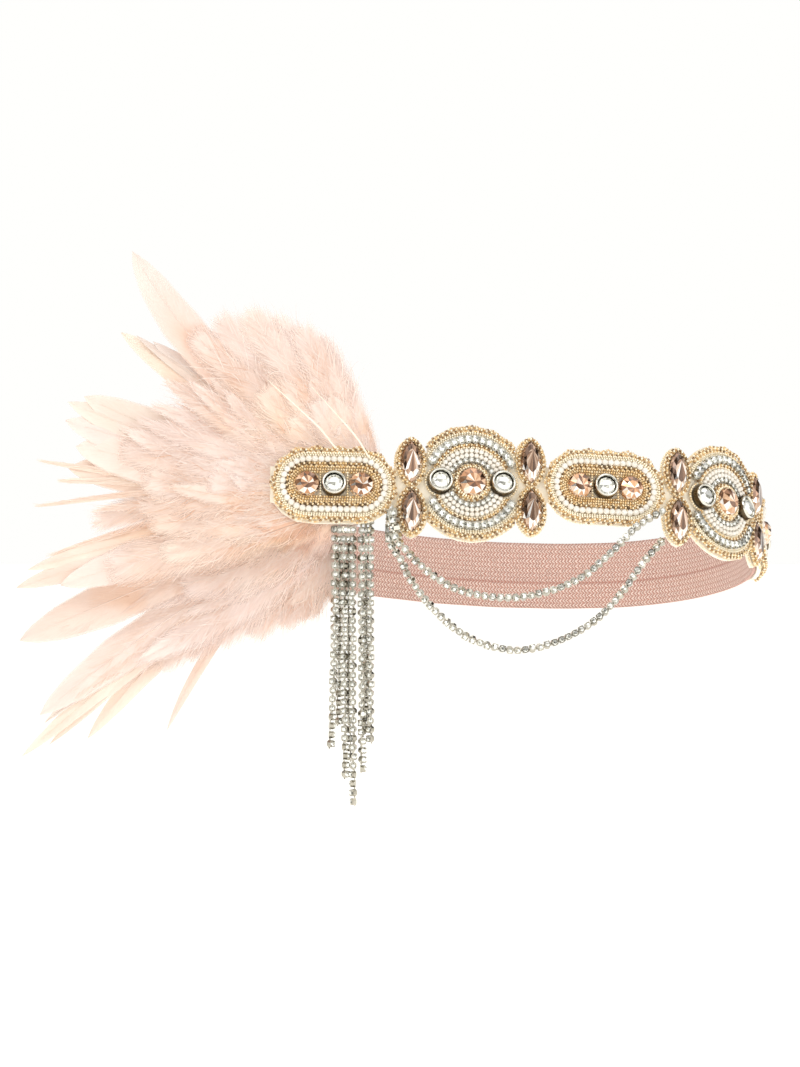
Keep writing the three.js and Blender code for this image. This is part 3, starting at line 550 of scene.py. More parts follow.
def down(feather, rng, count, steps=7):
    """Down: long limp barbs that curl away from the shaft."""
    at = np.maximum(rng.uniform(0.2, 0.85, count), feather.first_barb + 0.05)
    sign = rng.choice([-1.0, 1.0], count)
    run = np.linspace(0, 1, steps)[None]
    start = rng.uniform(0.2, 1.0, count)[:, None]
    bend = start * (1 - 0.9 * run) + rng.normal(0, 0.7, (count, 1)) * run**2
    ahead, aside = curled(bend, rng.uniform(5, 13, (count, 1)) * MM, sign[:, None])
    foot = feather.at(at)[4][:, None] * rng.uniform(-0.6, 0.6, (count, 1))
    lift = rng.uniform(0, 2.2, (count, 1)) * MM * run**1.3
    widths = np.interp(run, [0, 0.5, 1], [0.8, 1, 0.2]) * rng.uniform(0.12, 0.26, (count, 1)) * MM
    pale = np.clip(rng.normal(0.75, 0.3, (count, 1)) + 0.2 * run, 0, 1.3)
    return feather.beside(at, ahead, aside + foot, lift), widths, pale


def band_frame(s):
    """Unit vectors along the band, up it and out from it at lengths s."""
    _, _, heading = on_plan(np.asarray(s, float))
    zero = np.zeros_like(heading)
    right = tilted(np.stack([np.cos(heading), np.sin(heading), zero], -1))
    up = tilted(np.stack([zero, zero, zero + 1], -1))
    out = tilted(np.stack([np.sin(heading), -np.cos(heading), zero], -1))
    return right, up, out


def shaft(feather, thick):
    """The shaft as a thin four-sided tube."""
    share = np.linspace(0, 0.94, 12)
    s, t, h = feather.at(share)[:3]
    radius = np.interp(share, [0, 1], [thick, 0.05])[:, None, None] * MM
    _, up, out = band_frame(np.maximum(s, 0))
    ring = np.array([(1, 0), (0, 1), (-1, 0), (0, -1)])[None]
    round_shaft = radius * (ring[..., :1] * up[:, None] + ring[..., 1:] * out[:, None])
    tube = on_band(s, t, h + 0.2 * MM)[:, None] + round_shaft
    return tube.reshape(-1, 3), grid_faces(12, 4, wrapped=True)


def feather_finish():
    """Dyed feather, in shades from pink to cream, finely streaked, and paler at the tip. The tan-peach in
    the depth, toward each root and in soft patches, is painted shade where the feathers lie under one
    another.
    The edge of each vane is split along its barbs."""
    finish = Finish("blush_feather", roughness=0.9, sheen_weight=0.1)
    pale, dye, edge, ragged = (finish.kept(name) for name in ("pale", "dye", "edge", "ragged"))
    streaks = finish.noise(1.6, 2.0, finish.node("ShaderNodeUVMap"))
    # painted shade: soft tan patches from noise, strongest away from the pale tips
    shade = pale + (finish.noise(55, 2.0) - 0.54) * 2.6 * (1.12 - pale)
    body = finish.ramp(
        shade, (0.0, colour(206, 156, 124)), (0.22, colour(224, 190, 166)), (0.5, colour(231, 213, 202)),
        (0.8, colour(235, 222, 215)), (1.0, colour(246, 237, 230)))
    lot = finish.ramp(
        dye + (finish.noise(38, 1.0) - 0.5) * 1.3 * ragged, (0.0, colour(236, 220, 219)),
        (0.3, colour(234, 214, 204)), (0.6, colour(238, 206, 178)), (0.8, colour(245, 235, 212)),
        (1.0, colour(186, 186, 186)))
    dyed = finish.blend(0.35, body, lot)
    streaked = finish.blend((streaks - 0.4) * 0.6, dyed, colour(214, 172, 144))
    finish.set("Base Color", finish.blend(0.1, streaked, colour(206, 160, 130)))
    # painted light: the feather glows a little in a peach tint, for light passing through it, which also
    # lifts its shade
    finish.painted_glow(finish.blend(0.15, streaked, colour(250, 214, 184)), 0.11)
    finish.bump(streaks, 0.15 * MM, 0.4)
    worn = 1.05 - edge - (streaks - 0.5) * 1.2 * ragged * edge
    finish.set("Alpha", finish.clamped("DIVIDE", worn, 0.12 + ragged * 0.5))
    return finish.material


def choose_feathers(rng):
    """The main feathers, whose tips show, and shorter ones before them that fill the body."""
    chosen = []
    for form, tip, width, curl, lift, dye in MAIN_FEATHERS:
        chosen.append(Feather(form, (tip[0] * MM, tip[1] * MM), width * MM, curl, lift * MM, dye))
    bounds = sorted((f.angle, f.length) for f in chosen if f.form != "wisp")
    angles = [angle for angle, _ in bounds]
    near = [bounds[max(0, i - 2):i + 3] for i in range(len(bounds))]
    reaches = [np.median([length for _, length in group]) for group in near]
    for i in range(FILLERS):
        angle = math.radians(116 + 128 * (i + 0.5) / FILLERS) + rng.normal(0, 0.05)
        share = rng.uniform(0.42, 0.88)
        reach = np.interp(angle, angles, reaches) * share
        side = rng.normal(0, 5) * MM
        tip = (PLUME_ROOT[0] - MOTIF_MIDDLE + math.cos(angle) * reach - math.sin(angle) * side,
               PLUME_ROOT[1] + math.sin(angle) * reach + math.cos(angle) * side)
        form, width, curl = rng.choice(["round", "hackle"]), rng.uniform(10, 19) * MM, rng.normal(0, 14)
        lift = (3.5 * (1 - share) + rng.uniform(-0.7, 1)) * MM
        dye = 0.32 + 0.22 * math.sin(7 * angle + 5 * share) + rng.normal(0, 0.06)
        chosen.append(Feather(form, tip, width, curl, lift, dye))
    return chosen


def make_plume():
    rng = np.random.default_rng(7)
    finish = feather_finish()
    facing = np.array(tilted((0.0, -1.0, 0.0)))
    chosen = choose_feathers(rng)
    for i, name in enumerate(("feathers_back", "feathers_middle", "feathers_front")):
        parts = []
        for feather in chosen[i::3]:
            slender = feather.form in ("blade", "wisp")
            own = [vane(feather, rng)]
            strands = [barbs(feather, rng, (1.1 if slender else 0.62) * MM)]
            if not slender:
                strands.append(down(feather, rng, 84))
            for paths, widths, pale in strands:
                faced = unit(facing + rng.normal(0, 0.12, (len(paths), 3)))
                uv = np.repeat(rng.uniform(0, 400, (len(paths), 1, 2)), paths.shape[1] * 2, axis=1)
                pale = np.repeat(np.broadcast_to(pale, paths.shape[:2]).ravel(), 2)
                own.append((*barb_strips(paths, widths, faced), {"uv": uv.reshape(-1, 2), "pale": pale}))
            tube, faces = shaft(feather, 0.32 if slender else 0.2)
            own.append((tube, faces, {"pale": np.full(len(tube), 0.95)}))
            parts += [(p, f, {**kept, "dye": np.full(len(p), feather.dye)}) for p, f, kept in own]
        layer = joined_mesh(name, parts, ("pale", "edge", "ragged", "dye"))
        layer.data.materials.append(finish)
        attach(layer, "root")
        if name == "feathers_back":
            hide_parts("feather_plume")


make_plume()


# The bare quills: two stripped feather shafts of pale horn that lie over the plume. Their lower ends are
# tucked under the first motif.
def horn_finish():
    """Pale horn, a little darker along its length in fine lines, with a little painted glow."""
    finish = Finish("quill_horn", roughness=0.45, coat_weight=0.3)
    horn = finish.blend(finish.noise(900, 2.0), colour(255, 250, 238), colour(244, 228, 200))
    finish.set("Base Color", horn)
    # painted light: the horn glows a little in its own colour, though it is no lamp
    finish.painted_glow(horn, 0.15)
    return finish.material


def quill(start, end, thick):
    """A bare quill as a Feather that is nearly all shaft."""
    made = Feather("wisp", (end[0] * MM, end[1] * MM), 0.8 * MM, 1, 5 * MM, 0.8)
    made.s = np.interp(made.share, [0, 1], [MOTIF_MIDDLE + start[0] * MM, MOTIF_MIDDLE + end[0] * MM])
    made.t = np.interp(made.share, [0, 1], [start[1] * MM, end[1] * MM * math.cos(BAND_TILT)])
    upright = math.tan(BAND_TILT) * np.maximum(0, made.t - 8 * MM)
    made.h = PAD_DEPTH + 9 * MM * eased(made.share * 3 - 0.5) + upright
    return (*shaft(made, thick), {})


tubes = [quill((10.9, 3), (-24, 34.4), 0.85), quill((20.4, 0), (-9.6, 32.4), 0.95)]
quills = joined_mesh("bare_quills", tubes)
quills.data.materials.append(horn_finish())
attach(quills, "root")

# The gold seed beads: short glass tubes with a metal lining, about a millimetre across. They are threaded
# in small slanted stacks that make the rope rims, and one after another in the other rows.
MOTIFS = [
    # kind, middle along the band, rise, in mm
    ("oval", 19.8, 0),
    ("marquise", 45.05, 0),
    ("round", 64.9, 2),
    ("marquise", 84.75, 1.6),
    ("oval", 110.0, 2.8),
    ("marquise", 135.25, 1.6),
    ("round", 155.1, 2.6),
    ("marquise", 174.95, 1.2),
    ("oval", 200.2, 0.4),
]
BEAD_SEAT = 2.8 * MM
BEAD_PITCH, STACK = 0.85, (-1.2, 0, 1.2)
OVAL_RADIUS, OVAL_REACH, OVAL_IN_RADIUS, STONE_PITCH = 12.0, 19.8, 4.4, 8.75
ROUND_RADIUS, ROUND_HALF_WIDTH, ROUND_IN_RADIUS, SIDE_STONE = 19.0, 14.4, 6.6, 10.35
MARQUISE_RISE = 8.25
rng = np.random.default_rng(21)


def numbered(*kinds):
    """The motifs of some kinds from the left, each with its kind and its number among its kind."""
    for i, motif in enumerate(MOTIFS):
        if motif[0] in kinds:
            yield motif[0], sum(other[0] == motif[0] for other in MOTIFS[:i + 1]), motif


def frames_at(places, along, out):
    """Frames at places, with X along and Z as near as it can be to out."""
    x = unit(along)
    y = unit(np.cross(out, x))
    frames = np.zeros((len(places), 4, 4))
    frames[:, :3, 0], frames[:, :3, 1], frames[:, :3, 2] = x, y, np.cross(x, y)
    frames[:, :3, 3] = places
    frames[:, 3, 3] = 1
    return frames


def read(rows, key, kind, width=1):
    """A property of all the points, corners or faces of a mesh."""
    values = np.empty(len(rows) * width, kind)
    rows.foreach_get(key, values)
    return values


def scatter(name, pattern, frames, tints=None):
    """One piece that joins a copy of a pattern's mesh at each frame, with a tint for each copy."""
    mesh = pattern.data
    count, verts, loops, polys = len(frames), len(mesh.vertices), len(mesh.loops), len(mesh.polygons)
    points = read(mesh.vertices, "co", float, 3).reshape(-1, 3)
    placed = points @ frames[:, :3, :3].transpose(0, 2, 1) + frames[:, None, :3, 3]
    copies = np.arange(count)[:, None]
    corners = read(mesh.loops, "vertex_index", np.int32) + copies * verts
    starts = read(mesh.polygons, "loop_start", np.int32) + copies * loops
    joined = new_mesh(name, placed.reshape(-1, 3), corners.ravel(), starts.ravel())
    for key, kind in (("material_index", np.int32), ("use_smooth", bool)):
        joined.polygons.foreach_set(key, np.tile(read(mesh.polygons, key, kind), count))
    tints = rng.uniform(0, 1, count) if tints is None else tints
    keep_number(joined, "tint", "POINT", np.repeat(tints, verts))
    if "facet" in mesh.attributes:
        facet = read(mesh.attributes["facet"].data, "value", np.float32)
        keep_number(joined, "facet", "FACE", np.clip(facet + rng.normal(0, 0.12, (count, polys)), 0, 1))
    for material in mesh.materials:
        joined.materials.append(material)
    return new_object(name, joined)


def resample(path, pitch, closed=False, near=0.1):
    """Evenly spaced points along a path, with the directions there."""
    if closed:
        path = np.vstack([path, path[:1]])
    reached = np.concatenate([[0], np.cumsum(np.linalg.norm(np.diff(path, axis=0), axis=1))])
    count = max(2, round(reached[-1] / pitch))
    at = (np.arange(count) + (0 if closed else 0.5)) * reached[-1] / count
    ahead, behind, here = (np.stack([np.interp(at + shift, reached, line) for line in path.T], 1)
                           for shift in (near, -near, 0))
    return here, unit(ahead - behind)


def oval_path(share):
    """The outline of an oval motif at a share of the way in, in mm from its middle."""
    radius = OVAL_RADIUS + (OVAL_IN_RADIUS - OVAL_RADIUS) * share
    half = (OVAL_REACH - OVAL_RADIUS) * (1 - share) + STONE_PITCH * share
    turn = np.linspace(-math.pi / 2, math.pi / 2, 40)
    right = np.stack([half + radius * np.cos(turn), radius * np.sin(turn)], 1)
    return np.vstack([right, -right])


def round_path(share, sign):
    """The upper or lower arc of a round motif at a share of the way in."""
    radius = ROUND_RADIUS + (ROUND_IN_RADIUS - ROUND_RADIUS) * share
    cut = math.acos(min(1, ROUND_HALF_WIDTH / radius))
    start = max(math.radians(24), cut)
    turn = np.linspace(start, math.pi - start, 60)
    return np.stack([radius * np.cos(turn), sign * radius * np.sin(turn)], 1)


def almond_path(length, width, power, rise):
    turn = np.linspace(0, 2 * math.pi, 160, endpoint=False)
    x = np.sign(np.cos(turn)) * np.abs(np.cos(turn)) ** power * width / 2
    return np.stack([x, np.sin(turn) * length / 2 + rise], 1)


def set_row(motif, path, height, pitch=BEAD_PITCH, closed=True, palest=1.0):
    """Frames and tints for things threaded one after another along a path of a motif."""
    _, at, rise = motif
    here, along = resample(path, pitch, closed)
    s = (at + here[:, 0]) * MM
    right, up, out = band_frame(s)
    places = on_band(s, (rise + here[:, 1]) * MM, BEAD_SEAT + height * MM)
    frames = frames_at(places, right * along[:, :1] + up * along[:, 1:], out)
    return frames, rng.uniform(palest - 0.5, palest, len(here))


def set_rope(motif, path, width, tall, closed=True, wave=0.0, paler=0.04):
    """Frames and tints for slanted stacks of beads that arch across a rope rim. Every other stack gets a
    dark tint, as painted shade and painted dark glints in the twist of the rope.
    """
    _, at, rise = motif
    here, along = resample(path, BEAD_PITCH, closed)
    across = np.stack([along[:, 1], -along[:, 0]], 1)
    lobes = np.sin(np.arange(len(here)) * 2 * math.pi / 8) * wave
    frames = []
    for lean in STACK:
        cos, sin = math.cos(lean), math.sin(lean)
        flat = here + across * (width / 2 * sin + lobes * (1 + sin) / 2)[:, None] + along * 0.62 * sin
        s = (at + flat[:, 0]) * MM
        right, up, out = band_frame(s)
        height = tall * cos * 0.75 + 0.45
        places = on_band(s, (rise + flat[:, 1]) * MM, BEAD_SEAT + height * MM)
        thread = across * width / 2 * cos + along * 0.62 * cos
        way = right * thread[:, :1] + up * thread[:, 1:] - out * tall * 0.75 * sin
        frames.append(frames_at(places, way, out + 0.01 * right))
    # painted shade: every other stack is darkened, as shade and dark glints in the twist of the rope
    twist = np.where(np.arange(len(here)) % 2 == 0, 0.1, 0.68) + paler
    tints = np.tile(twist, len(STACK)) + rng.uniform(-0.12, 0.24, len(STACK) * len(here))
    return np.concatenate(frames), tints


def make_seed_bead():
    """One bead lying along X: a ring with a small hole, a little longer than its wall is thick."""
    bpy.ops.object.select_all(action="DESELECT")
    bpy.ops.mesh.primitive_torus_add(major_segments=6, minor_segments=4, major_radius=0.3 * MM,
                                     minor_radius=0.19 * MM)
    bead = bpy.context.object
    bpy.ops.object.mode_set(mode="EDIT")
    bpy.ops.transform.resize(value=(1, 1, 1.9))
    bpy.ops.transform.rotate(value=math.pi / 2, orient_axis="Y", center_override=(0, 0, 0))
    bpy.ops.object.mode_set(mode="OBJECT")
    bpy.ops.object.shade_smooth()
    return bead


def gold_bead_finish():
    """Metal-lined glass: pale gold, deeper from bead to bead, under a clear skin, with a little painted
    glow.
    """
    finish = Finish("gold_beads", metallic=0.7, roughness=0.3, coat_weight=0.6, coat_roughness=0.04)
    gold = finish.ramp(
        finish.kept("tint"), (0.0, colour(74, 48, 24)), (0.15, colour(164, 122, 72)),
        (0.32, colour(228, 192, 134)), (0.6, colour(246, 224, 182)), (1.0, colour(255, 248, 228)))
    finish.set("Base Color", finish.blend(finish.noise(900, 2.0) * 0.2, gold, colour(238, 200, 140)))
    # painted light: the beads glow a little in their own gold, though they are no lamp
    finish.painted_glow(gold, 0.12)
    return finish.material


bead = make_seed_bead()
bead.data.materials.append(gold_bead_finish())
for kind, number, motif in numbered("oval", "round", "marquise"):
    laid, nodes = [], []
    if kind == "oval":
        laid.append(set_rope(motif, oval_path(0.05), 1.4, 1.5, wave=0.5, paler=0.06))
        for share, height, palest in ((-0.045, -0.8, 0.9), (0.19, 0.9, 1.4), (0.285, 0.6, 1.4),
                                      (0.8, 0.7, 0.75), (0.92, 0.6, 0.8), (1.04, 0.5, 0.7)):
            laid.append(set_row(motif, oval_path(share), height, palest=palest))
        laid.append(set_rope(motif, oval_path(0.67), 1.2, 1.2, paler=-0.06))
        for x in (-4.4, 4.4):
            laid.append(set_row(motif, np.array([(x, -4.4), (x, 4.4)]), 0.7, closed=False))
        nodes.append(f"bead_rows_oval_{number}")
    elif kind == "round":
        nodes.append(f"centre_rim_{number}")
        for where, sign in (("upper", 1), ("lower", -1)):
            laid.append(set_rope(motif, round_path(0.05, sign)[::sign], 1.5, 1.4, closed=False, wave=0.3))
            laid.append(set_row(motif, round_path(-0.03, sign), -0.8, closed=False, palest=0.9))
            laid.append(set_rope(motif, round_path(0.5, sign)[::sign], 1.1, 1.3, closed=False))
            for share, height in ((0.16, 0.8), (0.22, 0.6), (0.565, 0.7)):
                laid.append(set_row(motif, round_path(share, sign), height, closed=False, palest=1.3))
            nodes.append(f"bead_rows_round_{number}_{where}")
        ring = np.linspace(0, 2 * math.pi, 90, endpoint=False)
        circle = np.stack([np.cos(ring), np.sin(ring)], 1)
        laid += [set_rope(motif, circle * 5.6, 1.1, 1.6), set_row(motif, circle * 5.1, 2.0)]
        laid += [set_row(motif, circle * 4.8 + (side, 0), 0.6) for side in (-SIDE_STONE, SIDE_STONE)]
    else:
        for where, offset in (("upper", MARQUISE_RISE), ("lower", -MARQUISE_RISE)):
            laid.append(set_rope(motif, almond_path(15.4, 8.2, 1.25, offset), 1.1, 1.5))
            for length, width, height in ((16.3, 9.4, 0.5), (16.9, 10.5, -0.7)):
                laid.append(set_row(motif, almond_path(length, width, 1.2, offset), height))
            nodes.append(f"marquise_{number}_{where}_rim")
    places, tints = (np.concatenate(lists) for lists in zip(*laid))
    row = scatter(f"gold_beads_{kind}_{number}", bead, places, tints)
    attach(row, "root")
    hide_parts(*nodes)
bpy.data.objects.remove(bead)


# The pearls: small round glass pearls with an ivory skin, threaded in one row round each oval motif and
# in two short rows above and below the middle of each round one.
def pearl_finish():
    finish = Finish("ivory_pearl", roughness=0.35, coat_weight=0.6, coat_roughness=0.15)
    ivory = finish.blend(finish.kept("tint"), colour(232, 222, 204), colour(250, 247, 240))
    finish.set("Base Color", finish.blend(finish.noise(700, 2.0) * 0.3, ivory, colour(216, 200, 182)))
    return finish.material


def make_pearl(radius):
    bpy.ops.object.select_all(action="DESELECT")
    bpy.ops.mesh.primitive_uv_sphere_add(segments=12, ring_count=8, radius=radius * MM)
    bpy.ops.object.shade_smooth()
    return bpy.context.object


pearl = make_pearl(1.12)
small_pearl = make_pearl(0.85)
ivory = pearl_finish()
for pattern in (pearl, small_pearl):
    pattern.data.materials.append(ivory)
for kind, number, motif in numbered("oval", "round"):
    if kind == "oval":
        laid, pattern = [set_row(motif, oval_path(0.47), 1.15, 2.05)], pearl
    else:
        laid = [set_row(motif, round_path(share, sign), 1.1, 1.62, closed=False)
                for sign in (1, -1) for share in (0.655, 0.785)]
        pattern = small_pearl
    row = scatter(f"pearls_{kind}_{number}", pattern, *(np.concatenate(lists) for lists in zip(*laid)))
    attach(row, "root")
for pattern in (pearl, small_pearl):
    bpy.data.objects.remove(pattern)


# The champagne stones: foil-backed cut glass, round in the oval and round motifs and pointed in the
# marquise pairs. Each has a flat table, with small facets round it down to its widest line.
def mesh_piece(name, points, faces):
    """A new piece from its points and faces."""
    mesh = bpy.data.meshes.new(name)
    mesh.from_pydata(points, [], faces)
    return new_object(name, mesh)


def cut_stone(name, outline, table, rows, height, apex=(0.1, -0.1), bright=250, swing=0.34):
    """A cut stone: outline is its widest line, rows the sizes and heights of the corners from there to
    the table, and bright the side, in degrees, whose facets are painted light as painted reflections; facets
    on the far side are painted dark as painted shade."""
    sides = len(outline)
    layers = [(0.72, 0.0), (0.98, rows[0][1] * 0.6)] + rows + [(table, 1.0)]
    points, faces = [], []
    for level, (size, up) in enumerate(layers):
        twist = 0.5 * (level % 2)
        for k in range(sides):
            low, high = outline[k], outline[(k + 1) % sides]
            x, y = (low[0] * (1 - twist) + high[0] * twist, low[1] * (1 - twist) + high[1] * twist)
            stretch = 1 / math.cos(math.pi / sides) if twist else 1
            points.append((x * size * stretch * MM, y * size * stretch * MM, up * height * MM))
    for level in range(len(layers) - 1):
        here, above = level * sides, (level + 1) * sides
        for k in range(sides):
            n = (k + 1) % sides
            if level % 2 == 0:
                faces += [(here + k, here + n, above + k), (here + n, above + n, above + k)]
            else:
                faces += [(here + k, here + n, above + n), (here + k, above + n, above + k)]
    top = (len(layers) - 1) * sides
    points.append((apex[0] * outline[0][0] * MM, apex[1] * max(y for _, y in outline) * MM, height * MM))
    faces += [(top + k, top + (k + 1) % sides, len(points) - 1) for k in range(sides)]
    on_table = len(faces)
    faces.append(tuple(range(sides - 1, -1, -1)))
    stone = mesh_piece(name, points, faces)
    stone.data.shade_flat()
    chance = np.random.default_rng(5).uniform(-1, 1, len(faces))
    facet = np.empty(len(faces))
    for i, face in enumerate(faces):
        x, y = np.mean([points[v][:2] for v in face], axis=0)
        # painted light: facets toward the bright side get lighter colours as painted reflections, those
        # opposite darker as painted shade; the table shows the far side, and a random share varies each
        # facet
        side = math.cos(math.atan2(y, x) - math.radians(bright))
        seen_through = -0.7 if on_table - sides <= i < on_table else 1
        facet[i] = 0.5 + swing * side * seen_through + 0.3 * chance[i]
    keep_number(stone.data, "facet", "FACE", facet)
    return stone


def stone_finish(name, metallic, *stops):
    """Foiled glass under a hard bright surface, in the stone's own colour, each facet painted lighter or
    darker by its facet number: painted reflections and painted shade.
    """
    finish = Finish(name, roughness=0.05, coat_weight=1.0, coat_roughness=0.02, metallic=metallic)
    facet_tint_and_light = finish.ramp(finish.kept("facet"), *stops)
    finish.set("Base Color", finish.blend(finish.noise(420, 1.0) * 0.25, facet_tint_and_light, stops[2][1]))
    return finish.material


def ring_outline(radius, sides):
    turns = (2 * math.pi * k / sides for k in range(sides))
    return [(radius * math.cos(turn), radius * math.sin(turn)) for turn in turns]


champagne = stone_finish(
    "champagne_glass", 0.75, (0.0, colour(46, 28, 16)), (0.3, colour(112, 70, 42)),
    (0.52, colour(184, 130, 88)), (0.72, colour(228, 192, 158)), (0.88, colour(255, 252, 246)))
mauve = stone_finish(
    "mauve_glass", 0.75, (0.0, colour(42, 28, 20)), (0.3, colour(104, 74, 54)),
    (0.5, colour(162, 124, 96)), (0.7, colour(218, 192, 170)), (0.85, colour(255, 253, 250)))


def lay_stone(pattern, name, motif, offsets, height, nodes, lean=0.0):
    """Copies of a stone at places of a motif, each turned a little, standing for their CAD nodes."""
    _, at, rise = motif
    for (x, y), node in zip(offsets, nodes):
        s = np.array([(at + x) * MM])
        right, up, out = band_frame(s)
        places = on_band(s, (rise + y) * MM, BEAD_SEAT + height * MM)
        turn = 0 if "marquise" in name else rng.uniform(-0.3, 0.3)
        way = right * math.cos(turn) + up * math.sin(turn)
        stone = scatter(node + name, pattern, frames_at(places, way, out + up * lean))
        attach(stone, "root")
        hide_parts(node)
        yield stone


chaton = cut_stone("chaton", ring_outline(4.3, 12), 0.5, [(1.0, 0.4), (0.88, 0.7)], 3.6)
centre = cut_stone("centre", ring_outline(4.95, 12), 0.5, [(1.0, 0.4), (0.88, 0.7)], 4.4)
navette_line = almond_path(14.2, 7.1, 1.4, 0)[::10]
navette = cut_stone("navette", [tuple(p) for p in navette_line], 0.56, [(1.0, 0.45), (0.82, 0.75)], 3.2,
                    apex=(0.1, 0.5), bright=300, swing=0.28)
for pattern, glass in ((chaton, champagne), (centre, champagne), (navette, mauve)):
    pattern.data.materials.append(glass)
for kind, number, motif in numbered("oval", "round", "marquise"):
    if kind == "oval":
        nodes = [f"champagne_stone_oval_{number}_{side}" for side in ("left", "right")]
        stones = lay_stone(chaton, "_cut", motif, [(-STONE_PITCH, 0), (STONE_PITCH, 0)], 0, nodes)
    elif kind == "round":
        stones = lay_stone(centre, "_cut", motif, [(0, 0)], 0, [f"champagne_stone_round_{number}"])
    else:
        nodes = [f"marquise_{number}_{where}" for where in ("upper", "lower")]
        offsets = [(0, MARQUISE_RISE), (0, -MARQUISE_RISE)]
        stones = lay_stone(navette, "_cut_marquise", motif, offsets, 0, nodes)
    for stone in stones:
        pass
for pattern in (chaton, centre, navette):
    bpy.data.objects.remove(pattern)

# The clear stones: foiled crystal in round cups of dark plated brass, whose rolled lip is bright. One sits
# in the middle of each oval motif and two flank the centre of each round one.
crystal = stone_finish(
    "clear_crystal", 0.6, (0.0, colour(54, 54, 48)), (0.18, colour(150, 150, 140)),
    (0.36, colour(228, 228, 219)), (0.6, colour(248, 250, 246)), (0.9, colour(255, 255, 255)))
BEZEL_STEPS = 32
BEZEL_PROFILE = [
    # radius and height in mm, and whether the band from there to the next is the bright lip
    (0.2, 0.2, 0), (3.8, 0.2, 0), (4.2, 0, 0), (4.25, 1.2, 0), (4.05, 2.6, 1), (3.9, 3.2, 1),
    (3.6, 3.45, 1), (3.3, 3.3, 1), (3.2, 2.4, 0), (3.1, 1.2, 0), (0.2, 1.2, 0),
]


def metal_finish(name, base, roughness, worn):
    finish = Finish(name, metallic=1.0, roughness=roughness)
    grain = finish.noise(500, 3.0)
    finish.set("Base Color", finish.blend(grain * 0.5, base, worn))
    finish.set("Roughness", grain * 0.15 + (roughness - 0.05))
    return finish.material


def make_bezel():
    """The cup's profile spun about Z."""
    points = [(x * MM, y * MM, height * MM) for radius, height, _ in BEZEL_PROFILE
              for x, y in ring_outline(radius, BEZEL_STEPS)]
    faces = []
    for here in range(0, len(points) - BEZEL_STEPS, BEZEL_STEPS):
        for k in range(BEZEL_STEPS):
            n = (k + 1) % BEZEL_STEPS
            above = here + BEZEL_STEPS
            faces.append((here + k, here + n, above + n, above + k))
    made = mesh_piece("bezel", points, faces)
    bands = np.repeat([band for _, _, band in BEZEL_PROFILE[:-1]], BEZEL_STEPS)
    made.data.polygons.foreach_set("material_index", bands.astype(np.int32))
    made.data.shade_smooth()
    return made


bezel = make_bezel()
bezel.data.materials.append(metal_finish("gunmetal", colour(78, 70, 58), 0.25, colour(150, 130, 98)))
bezel.data.materials.append(metal_finish("bright_lip", colour(226, 224, 216), 0.15, colour(190, 184, 170)))
clear = cut_stone("clear", ring_outline(3.15, 12), 0.5, [(1.0, 0.3), (0.85, 0.64)], 2.5)
clear.data.materials.append(crystal)
for kind, number, motif in numbered("oval", "round"):
    if kind == "oval":
        offsets, nodes = [(0, 0)], [f"clear_stone_oval_{number}"]
    else:
        offsets = [(-SIDE_STONE, 0), (SIDE_STONE, 0)]
        nodes = [f"clear_stone_round_{number}_{side}" for side in ("left", "right")]
    for stone in lay_stone(clear, "_cut", motif, offsets, 1.3, nodes, lean=0.1):
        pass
    for cup in lay_stone(bezel, "_cup", motif, offsets, 0, [n + "_bezel" for n in nodes], lean=0.1):
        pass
for pattern in (bezel, clear):
    bpy.data.objects.remove(pattern)


# The cup chain: small stones in silver cups with four prongs, joined by short links. It makes the strands
# of the tassel, the two swags, and the short arcs of crystals sewn into the round motifs.
def silver_finish():
    finish = Finish("silver_cup", metallic=1.0, roughness=0.2)
    grain = finish.noise(600, 2.0)
    finish.set("Base Color", finish.blend(grain, colour(220, 216, 204), colour(122, 116, 102)))
    return finish.material


silver = silver_finish()


def weld(main, other):
    """Joins a piece into another one."""
    edit(main)
    other.select_set(True)
    bpy.ops.object.join()


def make_cup(radius, height, stone_share=0.9):
    """One cup with its stone, facing up Z, with its chain along X."""
    radius, height = radius * MM, height * MM
    bpy.ops.object.select_all(action="DESELECT")
    turned = (0, 0, math.pi / 8)
    bpy.ops.mesh.primitive_cylinder_add(vertices=8, radius=radius, depth=height, rotation=turned)
    cup = bpy.context.object
    bpy.ops.object.transform_apply(location=True, rotation=True, scale=True)
    for x, y in ((1, 1), (-1, 1), (-1, -1), (1, -1)):
        place = (x * radius * 0.62, y * radius * 0.62, height * 0.55)
        bpy.ops.mesh.primitive_cube_add(size=0.38 * radius, location=place)
        weld(cup, bpy.context.object)
    for side in (-1, 1):
        bpy.ops.mesh.primitive_cube_add(size=1, location=(side * radius * 1.15, 0, -height * 0.3),
                                        scale=(radius * 0.5, radius * 0.5, height * 0.16))
        bpy.ops.object.transform_apply(location=True, rotation=True, scale=True)
        weld(cup, bpy.context.object)
    cup.data.shade_flat()
    cup.data.attributes.new("facet", "FLOAT", "FACE")
    line = ring_outline(radius / MM * stone_share, 6)
    stone = cut_stone("cup_stone", line, 0.55, [(1.0, 0.3)], 0.8 * height / MM)
    stone.data.transform(Matrix.Translation((0, 0, 0.12 * height)))
    for part in (cup, stone):
        part.data.materials.append(silver)
        part.data.materials.append(crystal)
    stone.data.polygons.foreach_set("material_index", np.ones(len(stone.data.polygons), np.int32))
    weld(cup, stone)
    return cup


def faced_front(here, along, roll):
    """Frames for cups that face the front, each rolled about the chain."""
    out = np.broadcast_to(np.array([0.0, -1.0, 0.0]), here.shape)
    side = np.cross(along, out)
    return frames_at(here, along, out * np.cos(roll)[:, None] + side * np.sin(roll)[:, None])


